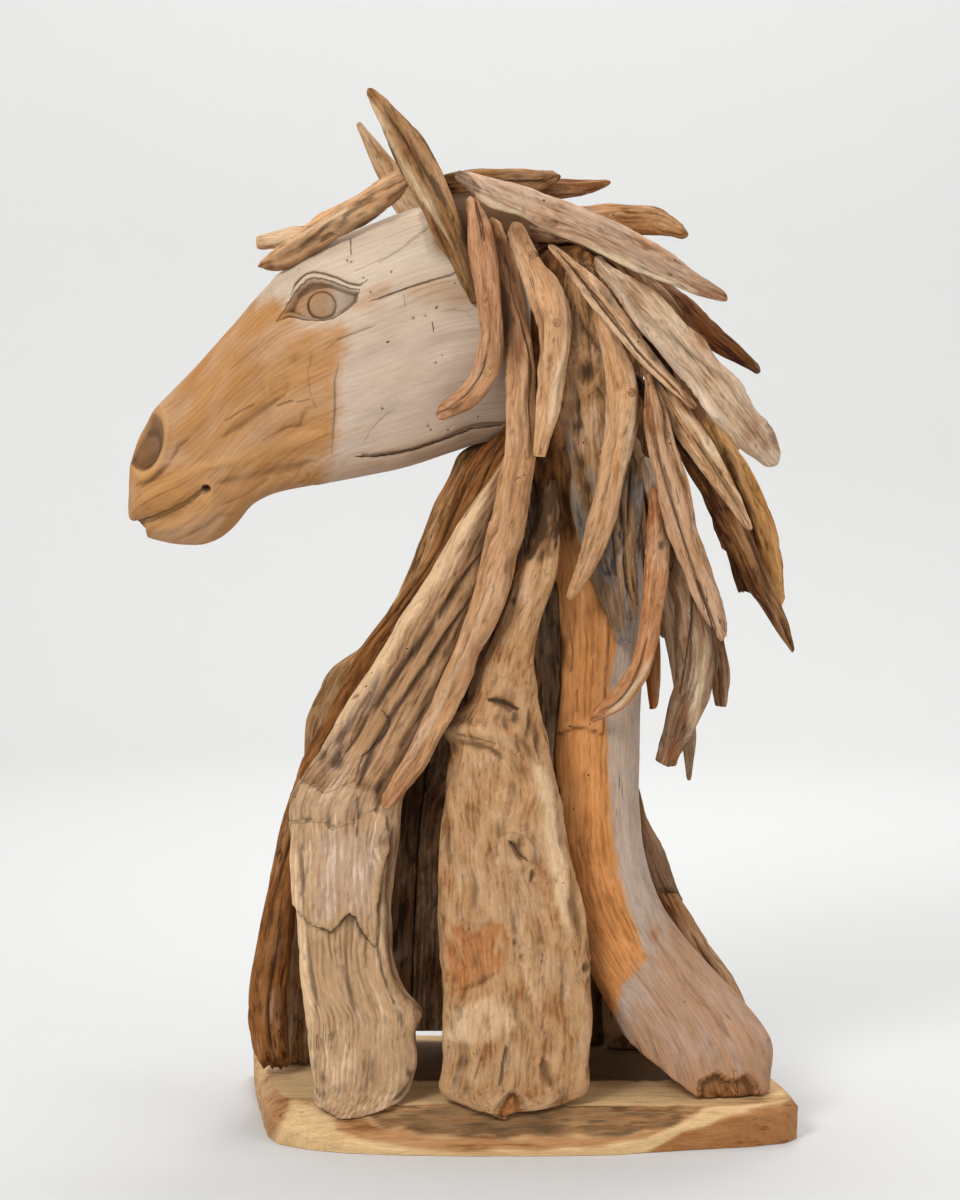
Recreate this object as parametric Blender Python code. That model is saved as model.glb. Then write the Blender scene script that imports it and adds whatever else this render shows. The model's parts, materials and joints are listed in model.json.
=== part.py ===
"""Driftwood horse head on a live-edge slab: one closed solid for each piece of wood.

Frame: the origin is the middle of the slab's underside, +Z is up, the muzzle points to -X and
the near side of the head faces -Y. All tables and constants are in millimetres; meshes are
scaled to metres when they are made.
"""
import math
import random

import bmesh
import bpy
import numpy as np
from mathutils import Matrix, Vector
from mathutils.bvhtree import BVHTree

MM = 0.001
GAP = 0.3                     # air between two pieces that touch
NEAR = Vector((0.0, -1.0, 0.0))
FAR = Vector((0.0, 1.0, 0.0))

# Slab
BASE_TOP = 39.0
FOOT_INSET = 1.0              # the underside's edge lies this far inside the rim
RIM_LEAN = 1.6                # over 1 makes the rim slope more to the front and back
FOOTING_DEPTH = 120.0         # how far down the feet's cutter reaches

# Trunk
TRUNK_SIDES = 12
TRUNK_RINGS = 19

# Trunk, uprights and sticks: squareness 2 is an ellipse, more is boxier; roughness is how far
# a section's corners fall short of its outline
TRUNK_SQUARENESS = 2.6
TRUNK_ROUGHNESS = 0.06
PLANK_SIDES = 8
ROOT_SIDES = 10
PLANK_SQUARENESS = 3.0
PLANK_ROUGHNESS = 0.10
STICK_SIDES = 7
EAR_SIDES = 10
STICK_SQUARENESS = 2.3
STICK_ROUGHNESS = 0.12
RING_STEP = 52.0              # distance between a stick's rings
FEWEST_RINGS = 6
MOST_RINGS = 12
MIN_THICKNESS = 4.0
MAX_THICKNESS = 30.0
BEND_RADIUS = 650.0           # a laid stick bends no tighter than this, towards the neck
REST_OFFSET = 0.4             # where a stick's edges rest, over its width, from its middle
MAX_ROLL = 0.5                # radians that a stick may lean over with what it lies on
SETTLE_STEP = 0.5             # how far a stick moves outwards at a time until it is clear
EAR_HOLLOW = 0.9              # depth of an ear's hollow over half its thickness

# Wood tones: base colour and roughness
TONES = {
    "pale": ((0.62, 0.46, 0.29), 0.72),
    "tan": ((0.50, 0.32, 0.18), 0.72),
    "orange": ((0.52, 0.27, 0.11), 0.68),
    "red_brown": ((0.38, 0.18, 0.09), 0.72),
    "brown": ((0.30, 0.17, 0.09), 0.78),
    "grey_brown": ((0.36, 0.27, 0.20), 0.80),
    "grey": ((0.30, 0.27, 0.24), 0.82),
    "dark": ((0.14, 0.08, 0.05), 0.85),
    "washed": ((0.66, 0.58, 0.48), 0.75),
}

# Slab outline, counter-clockwise from above: x, y, height of the rim, inset of the flat top
BASE_OUTLINE = (
    (-268, 53, 31, 10), (-259, -4, 30, 10), (-250, -60, 28, 11), (-242, -100, 25, 14),
    (-229, -124, 20, 22), (-200, -142, 13, 30), (-163, -154, 8, 36), (-110, -161, 6, 38),
    (-35, -164, 6, 40), (40, -163, 6, 38), (92, -160, 8, 34), (131, -151, 16, 24),
    (165, -144, 25, 15), (226, -133, 31, 10), (260, -121, 32, 9), (274, -104, 32, 9),
    (270, -60, 32, 8), (258, 0, 32, 8), (240, 80, 31, 8), (222, 140, 30, 10),
    (140, 158, 28, 14), (0, 162, 26, 18), (-140, 162, 26, 18), (-248, 156, 28, 14),
    (-277, 126, 30, 12),
)

# Carved head, from the muzzle back: top x, z, bottom x, z, half width
HEAD_SECTIONS = (
    (-384, 624, -385, 602, 10), (-382, 655, -380, 590, 24), (-373, 690, -364, 578, 33),
    (-358, 709, -339, 573, 37), (-339, 728, -307, 573, 40), (-313, 755, -283, 588, 41),
    (-288, 783, -261, 614, 44), (-262, 812, -229, 627, 48), (-236, 841, -192, 633, 53),
    (-208, 861, -155, 640, 58), (-174, 878, -115, 648, 61), (-136, 893, -75, 660, 62),
    (-94, 908, -43, 672, 61), (-12, 920, -12, 680, 58),
)
HEAD_SIDES = 20
HEAD_RINGS = 20
HEAD_SQUARENESS = 3.2
BROW_NARROWING = 0.16
JAW_NARROWING = 0.26

EYE_FRONT = (-232, 794)       # x, z of the eye's corners
EYE_REAR = (-152, 823)
UPPER_LID_RISE = 27.0
LOWER_LID_DROP = 14.0
LID_POINTS = 8
UPPER_LID_LEAN = 0.85         # under 1 moves the top of the arc to the front corner
LOWER_LID_LEAN = 1.1
BROW_RISE = 0.7               # where the brow is measured, over the rise of the upper lid
EYE_DEPTH = 6.0
IRIS = (-189, 808)
IRIS_RADIUS = 12.5
IRIS_BULGE = 2.0
NOSTRIL = (-361, 669)
NOSTRIL_RADII = (15, 13, 26)
NOSTRIL_OFFSET = 3.0          # its centre stands this far outside the muzzle
NOSTRIL_TILT = 12.0           # degrees, its top leans towards the muzzle
MOUTH_LINE = ((-374, 596), (-350, 602), (-326, 612), (-303, 625))
MOUTH_NOTCH = (-380, 595)     # x, z where the groove crosses the front of the muzzle
MOUTH_RADIUS = 2.6
MOUTH_HOLE_RADIUS = 4.5
MOUTH_HOLE_DEPTH = 9.0
DRILL_REACH = 6.0             # how far the drill stands out of the muzzle

# Bent logs: x, y, z, width, thickness along the centre line
TRUNK = (
    (50, 0, 872, 74, 62), (53, 0, 850, 108, 96), (58, 0, 806, 128, 110),
    (62, 0, 740, 130, 110), (68, -2, 640, 118, 102), (77, -7, 540, 102, 92),
    (79, -12, 460, 97, 88), (76, -20, 380, 95, 86), (77, -30, 310, 93, 86),
    (85, -38, 246, 92, 86), (106, -46, 190, 94, 88), (130, -53, 154, 100, 92),
    (154, -58, 116, 114, 96), (180, -63, 82, 128, 98), (199, -66, 58, 128, 92),
    (206, -68, 36, 102, 80), (206, -69, 14, 80, 70),
)

# Upright planks and root slabs: z, left x, right x, y, thickness
LEFT_ROOT = (
    (700, 4, 22, -54, 16), (656, -14, 10, -62, 20), (607, -49, -10, -70, 26),
    (549, -82, -30, -78, 32), (500, -113, -46, -85, 38), (442, -149, -62, -92, 44),
    (385, -186, -80, -98, 50), (345, -212, -100, -102, 54), (328, -220, -108, -103, 54),
    (302, -214, -111, -104, 54), (240, -211, -118, -106, 52), (180, -208, -119, -108, 50),
    (148, -206, -108, -109, 50), (123, -203, -82, -110, 48), (111, -201, -96, -111, 48),
    (84, -199, -93, -112, 46), (56, -198, -98, -113, 46), (10, -196, -112, -115, 44),
)
MIDDLE_ROOT = (
    (640, 24, 40, -66, 16), (610, 20, 42, -74, 22), (576, 8, 43, -80, 28),
    (538, -6, 36, -86, 32), (502, -19, 24, -90, 36), (464, -33, 16, -94, 40),
    (424, -48, 22, -97, 44), (405, -77, 27, -99, 46), (388, -64, 31, -101, 48),
    (341, -72, 40, -103, 52), (283, -78, 53, -105, 54), (230, -79, 67, -107, 56),
    (176, -78, 73, -109, 56), (118, -74, 75, -111, 54), (70, -74, 70, -113, 52),
    (10, -70, 50, -116, 50),
)
LEFT_BACK_PLANK = (
    (700, -14, 24, -22, 22), (653, -50, -6, -26, 22), (575, -80, -40, -30, 24),
    (521, -117, -74, -32, 24), (472, -155, -108, -31, 24), (418, -181, -136, -30, 26),
    (370, -209, -162, -28, 28), (299, -233, -196, -23, 30), (212, -252, -218, -17, 32),
    (134, -267, -228, -15, 34), (100, -269, -229, -15, 34), (39.3, -261, -226, -15, 34),
)
THROAT_PLANK = (
    (706, -40, 20, 8, 20), (668, -58, -10, 10, 22), (641, -65, -30, 11, 24),
    (612, -83, -44, 12, 24), (556, -103, -66, 15, 26), (501, -128, -88, 18, 26),
    (466, -158, -104, 20, 28), (448, -188, -114, 21, 28), (420, -201, -124, 22, 28),
    (398, -212, -130, 24, 30), (348, -216, -142, 26, 30), (250, -226, -158, 28, 30),
    (146, -236, -166, 30, 32), (39.3, -238, -170, 34, 34),
)
INNER_PLANK = (
    (640, 6, 60, -30, 26), (560, 2, 60, -34, 26), (470, 0, 60, -38, 28),
    (380, 2, 60, -44, 28), (320, 8, 62, -52, 24),
)
FAR_PLANK_FRONT = (
    (640, -62, 30, 48, 18), (560, -98, -20, 62, 20), (514, -122, -38, 68, 22),
    (470, -152, -58, 74, 22),
    (380, -196, -84, 86, 24), (280, -208, -98, 96, 26), (160, -216, -104, 106, 28),
    (39.3, -220, -108, 112, 30),
)
FAR_PLANK_MIDDLE = (
    (610, -40, 70, 60, 18), (500, -78, 34, 76, 20), (400, -104, 8, 90, 22),
    (280, -116, -6, 102, 26), (160, -122, -12, 110, 28), (54, -124, -16, 114, 26),
)
FAR_PLANK_REAR = (
    (560, 20, 116, 62, 20), (460, -6, 100, 78, 22), (340, -26, 92, 92, 26),
    (200, -30, 98, 104, 28), (39.3, -32, 104, 112, 30),
)
FAR_PLANK_FOOT = (
    (430, 66, 118, 56, 20), (380, 66, 122, 64, 22), (307, 72, 128, 72, 24),
    (220, 84, 158, 82, 26), (120, 90, 192, 92, 28), (39.3, 94, 214, 96, 28),
)

# Sticks of the near side: x, z, width along the centre line, in the order they are laid
NEAR_STICKS = (
    ("knotty_plank", "grey_brown", 0.34, (
        (64, 852, 44), (70, 780, 62), (78, 710, 80), (86, 640, 86), (92, 572, 72),
        (100, 520, 46), (107, 478, 20))),
    ("mane_outer_pointed", "tan", 0.6, (
        (110, 740, 14), (152, 684, 24), (189, 630, 31), (220, 574, 33), (245, 526, 30),
        (267, 487, 17), (279, 465, 6))),
    ("mane_split_inner", "tan", 0.55, (
        (108, 782, 12), (136, 732, 26), (166, 684, 32), (194, 642, 26), (226, 590, 8))),
    ("mane_blunt_grey", "grey_brown", 0.5, (
        (122, 662, 14), (144, 592, 26), (162, 540, 36), (174, 492, 49), (173, 440, 45),
        (158, 390, 34), (148, 356, 26))),
    ("mane_red_hook", "red_brown", 0.75, (
        (132, 632, 10), (134, 590, 24), (134, 556, 28), (128, 506, 22), (122, 466, 23),
        (104, 431, 24), (70, 406, 11))),
    ("mane_grey_straight", "grey_brown", 0.6, (
        (124, 744, 8), (130, 708, 25), (138, 664, 36), (150, 618, 36), (164, 572, 34),
        (182, 526, 30), (200, 486, 14))),
    ("mane_curved_light", "orange", 0.6, (
        (74, 802, 6), (90, 764, 26), (102, 726, 35), (97, 676, 33), (86, 622, 31),
        (73, 570, 28), (50, 522, 7))),
    ("mane_neck_long", "orange", 0.62, (
        (-24, 892, 14), (-8, 832, 28), (2, 768, 31), (4, 664, 34), (-5, 616, 41),
        (-14, 566, 43), (-32, 510, 35), (-62, 440, 31), (-92, 378, 27), (-128, 328, 17))),
    ("mane_short_cut", "orange", 0.5, (
        (-4, 886, 18), (8, 858, 29), (24, 826, 38), (36, 796, 44), (36, 756, 36),
        (30, 706, 27), (22, 660, 15))),
    ("mane_thin_split", "tan", 0.8, (
        (30, 862, 6), (58, 834, 20), (90, 796, 25), (124, 752, 19), (170, 707, 8))),
    ("mane_broad_pale", "pale", 0.5, (
        (72, 848, 14), (104, 818, 35), (150, 772, 46), (192, 722, 50), (226, 685, 49),
        (251, 653, 20))),
    ("ear_near", "brown", 0.55, (
        (-144, 1019, 6), (-131, 1001, 23), (-117, 979, 33), (-101, 955, 39), (-89, 932, 43),
        (-77, 903, 43), (-62, 870, 32), (-38, 808, 12))),
    ("mane_cheek_hook", "orange", 0.75, (
        (-44, 911, 12), (-37, 884, 28), (-30, 828, 29), (-24, 772, 29), (-30, 740, 30),
        (-46, 719, 29), (-78, 701, 16))),
    ("mane_crest_long", "grey_brown", 0.55, (
        (-58, 927, 10), (-34, 913, 27), (30, 888, 35), (90, 862, 37), (142, 836, 32),
        (176, 818, 21), (199, 810, 8))),
)

# Sticks fitted between others: x, y, z, width, thickness, in the order they are fitted
FITTED_STICKS = (
    ("forelock_near", "brown", (
        (-98, -40, 938, 22, 20), (-140, -38, 914, 30, 24), (-186, -32, 887, 31, 24),
        (-222, -26, 862, 25, 20), (-254, -22, 845, 8, 8))),
    ("forelock_far", "tan", (
        (-124, 20, 920, 20, 20), (-168, 24, 893, 26, 22), (-208, 25, 880, 25, 20),
        (-240, 25, 876, 20, 17), (-259, 25, 875, 10, 10))),
    ("crest_stick_front", "brown", (
        (-78, -4, 928, 28, 28), (-35, -4, 930, 32, 32), (4, -4, 931, 31, 30),
        (34, -4, 935, 26, 26), (45, -4, 937, 12, 14))),
    ("crest_stick_rear", "orange", (
        (2, 38, 881, 40, 30), (50, 40, 891, 42, 32), (104, 40, 898, 37, 28),
        (136, 39, 897, 39, 26), (160, 38, 891, 33, 22), (175, 36, 883, 14, 12))),
    ("crest_stick_middle", "orange", (
        (-24, 20, 922, 26, 24), (20, 22, 924, 28, 24), (47, 22, 926, 26, 22),
        (73, 23, 929, 18, 16), (96, 23, 933, 5, 6))),
    ("crest_stick_inner", "brown", (
        (-30, -22, 896, 20, 26), (20, -24, 880, 30, 38), (80, -22, 860, 32, 38),
        (130, -16, 828, 28, 32), (164, -10, 796, 18, 20))),
    ("mane_dark_upper", "dark", (
        (100, 12, 862, 24, 20), (157, 14, 814, 33, 18), (186, 15, 790, 36, 16),
        (214, 15, 768, 26, 14), (246, 15, 745, 9, 8))),
    ("mane_orange_curve", "orange", (
        (112, 24, 812, 18, 20), (153, 24, 755, 27, 20), (190, 21, 692, 34, 22),
        (222, 18, 636, 39, 24), (246, 15, 582, 39, 24), (259, 12, 536, 30, 18),
        (267, 10, 509, 12, 8))),
    ("mane_dark_inner", "dark", (
        (116, -16, 778, 18, 20), (156, -18, 716, 22, 20), (188, -16, 654, 26, 20),
        (212, -13, 590, 26, 18), (230, -10, 523, 17, 14))),
    ("mane_back_upper", "brown", (
        (96, -6, 846, 26, 22), (140, -4, 790, 34, 24), (168, -2, 738, 32, 22),
        (184, 0, 690, 16, 14))),
    ("mane_back_middle", "tan", (
        (108, 6, 730, 24, 22), (134, 6, 660, 32, 24), (146, 6, 600, 34, 24),
        (152, 8, 545, 28, 20), (152, 10, 500, 14, 12))),
    ("mane_tip_dark", "brown", (
        (144, -34, 612, 16, 16), (172, -30, 559, 20, 18), (192, -28, 498, 25, 18),
        (204, -26, 440, 25, 16), (204, -26, 412, 14, 12))),
    ("mane_tip_small", "brown", (
        (138, -22, 560, 18, 18), (153, -20, 508, 22, 18), (167, -20, 440, 24, 16),
        (174, -20, 370, 15, 12), (174, -20, 338, 5, 5))),
    ("mane_tip_brown", "orange", (
        (112, 8, 600, 18, 18), (129, 6, 520, 25, 18), (137, 6, 452, 22, 16),
        (139, 6, 404, 11, 10))),
    ("rear_plank_upper", "brown", (
        (98, 22, 384, 28, 22), (109, 22, 340, 33, 22), (120, 22, 300, 34, 22),
        (134, 22, 266, 34, 22), (150, 22, 228, 35, 20), (165, 22, 190, 30, 18))),
    ("rear_plank_lower", "tan", (
        (149, 8, 224, 26, 20), (167, 8, 190, 33, 22), (187, 8, 158, 34, 22),
        (204, 8, 136, 34, 22), (222, 8, 100, 34, 22), (230, 8, 66, 34, 22),
        (231, 8, 22, 34, 22))),
)

# Sticks of the far side, in the order they are laid
FAR_STICKS = (
    ("ear_far", "tan", 0.55, (
        (-157, 995, 6), (-146, 976, 16), (-130, 951, 26), (-114, 923, 32), (-96, 892, 34),
        (-62, 832, 14))),
    ("mane_far_cheek", "tan", 0.7, (
        (-46, 900, 14), (-38, 860, 28), (-30, 790, 30), (-28, 740, 28), (-44, 708, 14))),
    ("mane_far_neck", "orange", 0.62, (
        (-14, 884, 14), (0, 800, 30), (4, 700, 34), (-6, 600, 38), (-28, 510, 34),
        (-58, 430, 28), (-86, 372, 14))),
    ("mane_far_flank", "grey_brown", 0.4, (
        (58, 850, 34), (70, 770, 58), (82, 680, 66), (92, 590, 58), (100, 520, 24))),
    ("mane_far_hook", "red_brown", 0.7, (
        (120, 700, 12), (128, 630, 26), (126, 560, 26), (112, 500, 24), (84, 462, 12))),
    ("mane_far_blunt", "brown", 0.5, (
        (108, 760, 16), (138, 680, 32), (160, 600, 42), (168, 530, 40), (160, 470, 26))),
    ("mane_far_short", "tan", 0.55, (
        (2, 884, 18), (22, 826, 36), (34, 770, 38), (30, 710, 28), (24, 670, 14))),
    ("mane_far_curved", "pale", 0.6, (
        (62, 830, 10), (84, 760, 30), (96, 690, 34), (86, 620, 30), (66, 560, 10))),
    ("mane_far_broad", "pale", 0.5, (
        (70, 856, 16), (112, 808, 38), (160, 752, 44), (202, 700, 38), (226, 664, 16))),
    ("mane_far_inner", "brown", 0.6, (
        (112, 760, 12), (144, 694, 28), (172, 630, 34), (186, 566, 26), (190, 520, 10))),
    ("mane_far_outer", "orange", 0.55, (
        (96, 820, 14), (142, 760, 32), (180, 694, 38), (208, 620, 36), (222, 560, 14))),
    ("mane_far_thin", "tan", 0.8, (
        (20, 860, 8), (52, 820, 22), (84, 770, 24), (112, 716, 20), (132, 670, 8))),
    ("mane_far_crest", "grey_brown", 0.55, (
        (-60, 912, 12), (-10, 896, 28), (50, 872, 34), (112, 842, 32), (164, 812, 12))),
)


def resample(rows, count, along):
    """Rows of a table read at even distances, on a smooth curve through them.

    The columns in `along` are the ones that distance is measured in.
    """
    table = np.array(rows, dtype=float)
    steps = np.linalg.norm(np.diff(table[:, along], axis=0), axis=1)
    reach = np.concatenate(([0.0], np.cumsum(steps)))
    slopes = np.gradient(table, reach, axis=0)
    result = []
    for distance in np.linspace(0.0, reach[-1], count):
        i = min(int(np.searchsorted(reach, distance, side="right")) - 1, len(reach) - 2)
        span = reach[i + 1] - reach[i]
        t = (distance - reach[i]) / span
        start = (2 * t ** 3 - 3 * t ** 2 + 1) * table[i] + (t ** 3 - 2 * t ** 2 + t) * span * slopes[i]
        end = (3 * t ** 2 - 2 * t ** 3) * table[i + 1] + (t ** 3 - t ** 2) * span * slopes[i + 1]
        result.append(start + end)
    return result, reach[-1]


def section(sides, squareness, seed, roughness):
    """Outline of a cross-section, across and outwards, from -1 to 1 and slightly irregular."""
    source = random.Random(seed)
    points = []
    for i in range(sides):
        angle = math.tau * (i + 0.5) / sides
        swell = 1 - roughness * source.random()
        across = math.copysign(abs(math.cos(angle)) ** (2 / squareness), math.cos(angle))
        outward = math.copysign(abs(math.sin(angle)) ** (2 / squareness), math.sin(angle))
        points.append((across * swell, outward * swell))
    widest = [max(abs(point[axis]) for point in points) for axis in (0, 1)]
    return [(u / widest[0], v / widest[1]) for u, v in points]


def tangents(centres):
    """Direction of the centre line at each centre."""
    result = []
    for i in range(len(centres)):
        ahead = centres[min(i + 1, len(centres) - 1)]
        behind = centres[max(i - 1, 0)]
        result.append((ahead - behind).normalized())
    return result


def swept_rings(centres, widths, thicknesses, outward, outline, rolls=None, hollow=0.0):
    """Rings of a swept piece, whose flat side faces `outward`, turned by `rolls`."""
    rings = []
    for i, (centre, tangent) in enumerate(zip(centres, tangents(centres))):
        depth = (outward - tangent * outward.dot(tangent)).normalized()
        across = tangent.cross(depth)
        if rolls is not None:
            turn = Matrix.Rotation(rolls[i], 3, tangent)
            depth = turn @ depth
            across = turn @ across
        ring = []
        for u, v in outline:
            rise = v
            if v > 0:
                rise = v - hollow * (1 - u * u)
            ring.append(centre + across * (u * widths[i] / 2) + depth * (rise * thicknesses[i] / 2))
        rings.append(ring)
    return rings


def loft(rings):
    """Closed bmesh through rings of equal length, with flat ends and faces pointing out."""
    mesh = bmesh.new()
    rows = [[mesh.verts.new(point * MM) for point in ring] for ring in rings]
    for lower, upper in zip(rows, rows[1:]):
        for i in range(len(lower)):
            j = (i + 1) % len(lower)
            mesh.faces.new((lower[i], lower[j], upper[j], upper[i]))
    mesh.faces.new(rows[0])
    mesh.faces.new(rows[-1])
    bmesh.ops.recalc_face_normals(mesh, faces=mesh.faces)
    bmesh.ops.triangulate(mesh, faces=mesh.faces)
    return mesh


def wood(name, tone):
    """The piece's own material."""
    colour, roughness = TONES[tone]
    material = bpy.data.materials.new(name)
    material.use_nodes = True
    shader = material.node_tree.nodes["Principled BSDF"]
    shader.inputs["Base Color"].default_value = (*colour, 1.0)
    shader.inputs["Roughness"].default_value = roughness
    shader.inputs["Metallic"].default_value = 0.0
    return material


def add_piece(name, tone, mesh):
    """Object made from a bmesh, with its own material."""
    data = bpy.data.meshes.new(name)
    mesh.to_mesh(data)
    mesh.free()
    data.materials.append(wood(name, tone))
    piece = bpy.data.objects.new(name, data)
    bpy.context.scene.collection.objects.link(piece)
    return piece


def guide(name, mesh):
    """Object that only shapes others: it is drawn as wire and left out of the result."""
    piece = add_piece(name, "dark", mesh)
    piece.hide_render = True
    piece.display_type = "WIRE"
    return piece


def combine(piece, tool, operation):
    """Boolean of two closed pieces, applied to the first."""
    modifier = piece.modifiers.new(tool.name, "BOOLEAN")
    modifier.operation = operation
    modifier.solver = "EXACT"
    modifier.object = tool
    bpy.context.view_layer.update()
    result = bpy.data.meshes.new_from_object(piece.evaluated_get(bpy.context.evaluated_depsgraph_get()))
    piece.modifiers.clear()
    piece.data = result
    tidy = bmesh.new()
    tidy.from_mesh(result)
    bmesh.ops.dissolve_degenerate(tidy, dist=0.02 * MM, edges=tidy.edges)
    bmesh.ops.triangulate(tidy, faces=tidy.faces)
    tidy.to_mesh(result)
    tidy.free()


def grown(piece, distance):
    """A hidden twin of a piece, larger by `distance` all round."""
    twin = bmesh.new()
    twin.from_mesh(piece.data)
    twin.normal_update()
    normals = [vertex.normal.copy() for vertex in twin.verts]
    shell = [vertex.calc_shell_factor() for vertex in twin.verts]
    for vertex, normal, factor in zip(twin.verts, normals, shell):
        vertex.co += normal * distance * min(factor, 2.0) * MM
    return guide(piece.name + "_room", twin)


def make_room(piece, neighbour):
    """Cut a piece back where its neighbour is, leaving the gap."""
    tool = grown(neighbour, GAP)
    combine(piece, tool, "DIFFERENCE")
    bpy.data.objects.remove(tool)


def give_way(piece, placed):
    """Cut a piece back wherever it would run into one that is already placed."""
    for other in placed:
        if surface(piece).overlap(surface(other)):
            make_room(piece, other)


def surface(piece):
    """Search tree over a piece's surface."""
    mesh = bmesh.new()
    mesh.from_mesh(piece.data)
    tree = BVHTree.FromBMesh(mesh)
    mesh.free()
    return tree


def slab_rings(foot, grow):
    """Rings of the slab from its foot up, larger by `grow`."""
    rings = [[], [], []]
    for x, y, rim, inset in BASE_OUTLINE:
        inward = Vector((-x, -y * RIM_LEAN, 0)).normalized()
        edge = Vector((x, y, 0)) - inward * grow
        rings[0].append(edge + inward * FOOT_INSET + Vector((0, 0, foot)))
        rings[1].append(edge + Vector((0, 0, rim + grow)))
        rings[2].append(edge + inward * inset + Vector((0, 0, BASE_TOP + grow)))
    return rings


def base():
    """Live-edge slab: thin sloping edge at the front, square edge elsewhere."""
    return add_piece("base", "tan", loft(slab_rings(0.0, 0.0)))


def stand_on_slab(*pieces):
    """Cut the feet of pieces to the slab's surface, leaving the gap."""
    footing = guide("footing", loft(slab_rings(-FOOTING_DEPTH, GAP)))
    for piece in pieces:
        combine(piece, footing, "DIFFERENCE")
    bpy.data.objects.remove(footing)


def trunk(head_piece):
    """Thick bent log at the rear, standing on the slab and butted against the head."""
    rows, _ = resample(TRUNK, TRUNK_RINGS, (0, 1, 2))
    centres = [Vector(row[:3]) for row in rows]
    outline = section(TRUNK_SIDES, TRUNK_SQUARENESS, "trunk", TRUNK_ROUGHNESS)
    rings = swept_rings(centres, [row[3] for row in rows], [row[4] for row in rows], NEAR, outline)
    piece = add_piece("trunk", "orange", loft(rings))
    make_room(piece, head_piece)
    return piece


def upright(name, tone, rows, sides=PLANK_SIDES):
    """Plank or root slab with one level section for each row of its table."""
    outline = section(sides, PLANK_SQUARENESS, name, PLANK_ROUGHNESS)
    rings = []
    for z, left, right, y, thickness in rows:
        middle = (left + right) / 2
        half = (right - left) / 2
        rings.append([Vector((middle + u * half, y - v * thickness / 2, z)) for u, v in outline])
    return add_piece(name, tone, loft(rings))


def head_section(row):
    """One section of the carved head, flat-sided and narrower at the brow and the jaw."""
    top_x, top_z, bottom_x, bottom_z, half_width = row
    top = Vector((top_x, 0, top_z))
    bottom = Vector((bottom_x, 0, bottom_z))
    middle = (top + bottom) / 2
    half = (top - bottom) / 2
    ring = []
    for i in range(HEAD_SIDES):
        angle = math.tau * (i + 0.5) / HEAD_SIDES
        up = math.copysign(abs(math.sin(angle)) ** (2 / HEAD_SQUARENESS), math.sin(angle))
        side = math.copysign(abs(math.cos(angle)) ** (2 / HEAD_SQUARENESS), math.cos(angle))
        narrowing = 1 - BROW_NARROWING * max(0.0, up) ** 2 - JAW_NARROWING * max(0.0, -up) ** 2
        ring.append(middle + half * up + Vector((0, side * narrowing * half_width, 0)))
    return ring


def hit(tree, x, z, outward):
    """Outermost point and normal of a surface at x, z, in millimetres, or None."""
    start = Vector((x, 0, z)) + outward * 500
    place, normal, _, _ = tree.ray_cast(start * MM, -outward)
    if place is None:
        return None
    return place / MM, normal


def eye_outline():
    """Almond between the eye's corners, from two lid arcs, in the eye's own plane."""
    front = Vector(EYE_FRONT)
    rear = Vector(EYE_REAR)
    length = (rear - front).length
    points = []
    for i in range(LID_POINTS):
        u = i / LID_POINTS
        rise = UPPER_LID_RISE * math.sin(math.pi * u ** UPPER_LID_LEAN)
        points.append(((u - 0.5) * length, rise))
    for i in range(LID_POINTS):
        u = 1 - i / LID_POINTS
        drop = LOWER_LID_DROP * math.sin(math.pi * u ** LOWER_LID_LEAN)
        points.append(((u - 0.5) * length, -drop))
    return points


def carve_eye(piece, tree, outward):
    """Sink an almond into the side of the head and leave the iris standing in it."""
    front = Vector((EYE_FRONT[0], 0, EYE_FRONT[1]))
    rear = Vector((EYE_REAR[0], 0, EYE_REAR[1]))
    along = (rear - front).normalized()
    middle = (front + rear) / 2
    raised = Vector((-along.z, 0, along.x)) * UPPER_LID_RISE * BROW_RISE
    brow, _ = hit(tree, middle.x + raised.x, middle.z + raised.z, outward)
    cheek, _ = hit(tree, middle.x - raised.x / 2, middle.z - raised.z / 2, outward)
    up = brow - cheek
    up = (up - along * up.dot(along)).normalized()
    normal = along.cross(up)
    if normal.dot(outward) < 0:
        normal = -normal
    centre, _ = hit(tree, middle.x, middle.z, outward)
    rings = []
    for depth in (-EYE_DEPTH, 4 * EYE_DEPTH):
        rings.append([centre + along * u + up * v + normal * depth for u, v in eye_outline()])
    recess = guide("eye_recess", loft(rings))
    combine(piece, recess, "DIFFERENCE")
    bpy.data.objects.remove(recess)
    iris, _ = hit(tree, IRIS[0], IRIS[1], outward)
    dome = bmesh.new()
    turn = normal.to_track_quat("Z", "Y").to_matrix().to_4x4()
    size = Matrix.Diagonal((IRIS_RADIUS * MM, IRIS_RADIUS * MM, (EYE_DEPTH + IRIS_BULGE) * MM, 1.0))
    place = Matrix.Translation((iris - normal * (EYE_DEPTH + 2)) * MM)
    bmesh.ops.create_uvsphere(
        dome, u_segments=14, v_segments=8, radius=1.0, matrix=place @ turn @ size)
    ball = guide("iris", dome)
    combine(piece, ball, "UNION")
    bpy.data.objects.remove(ball)


def carve_nostril(piece, tree, outward):
    """Hollow of the nostril, an oval sunk into the side of the muzzle."""
    place, _ = hit(tree, NOSTRIL[0], NOSTRIL[1], outward)
    oval = bmesh.new()
    turn = Matrix.Rotation(math.radians(NOSTRIL_TILT), 4, "Y")
    size = Matrix.Diagonal((*(radius * MM for radius in NOSTRIL_RADII), 1.0))
    bmesh.ops.create_uvsphere(
        oval, u_segments=12, v_segments=8, radius=1.0,
        matrix=Matrix.Translation((place + outward * NOSTRIL_OFFSET) * MM) @ turn @ size)
    tool = guide("nostril", oval)
    combine(piece, tool, "DIFFERENCE")
    bpy.data.objects.remove(tool)


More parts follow.
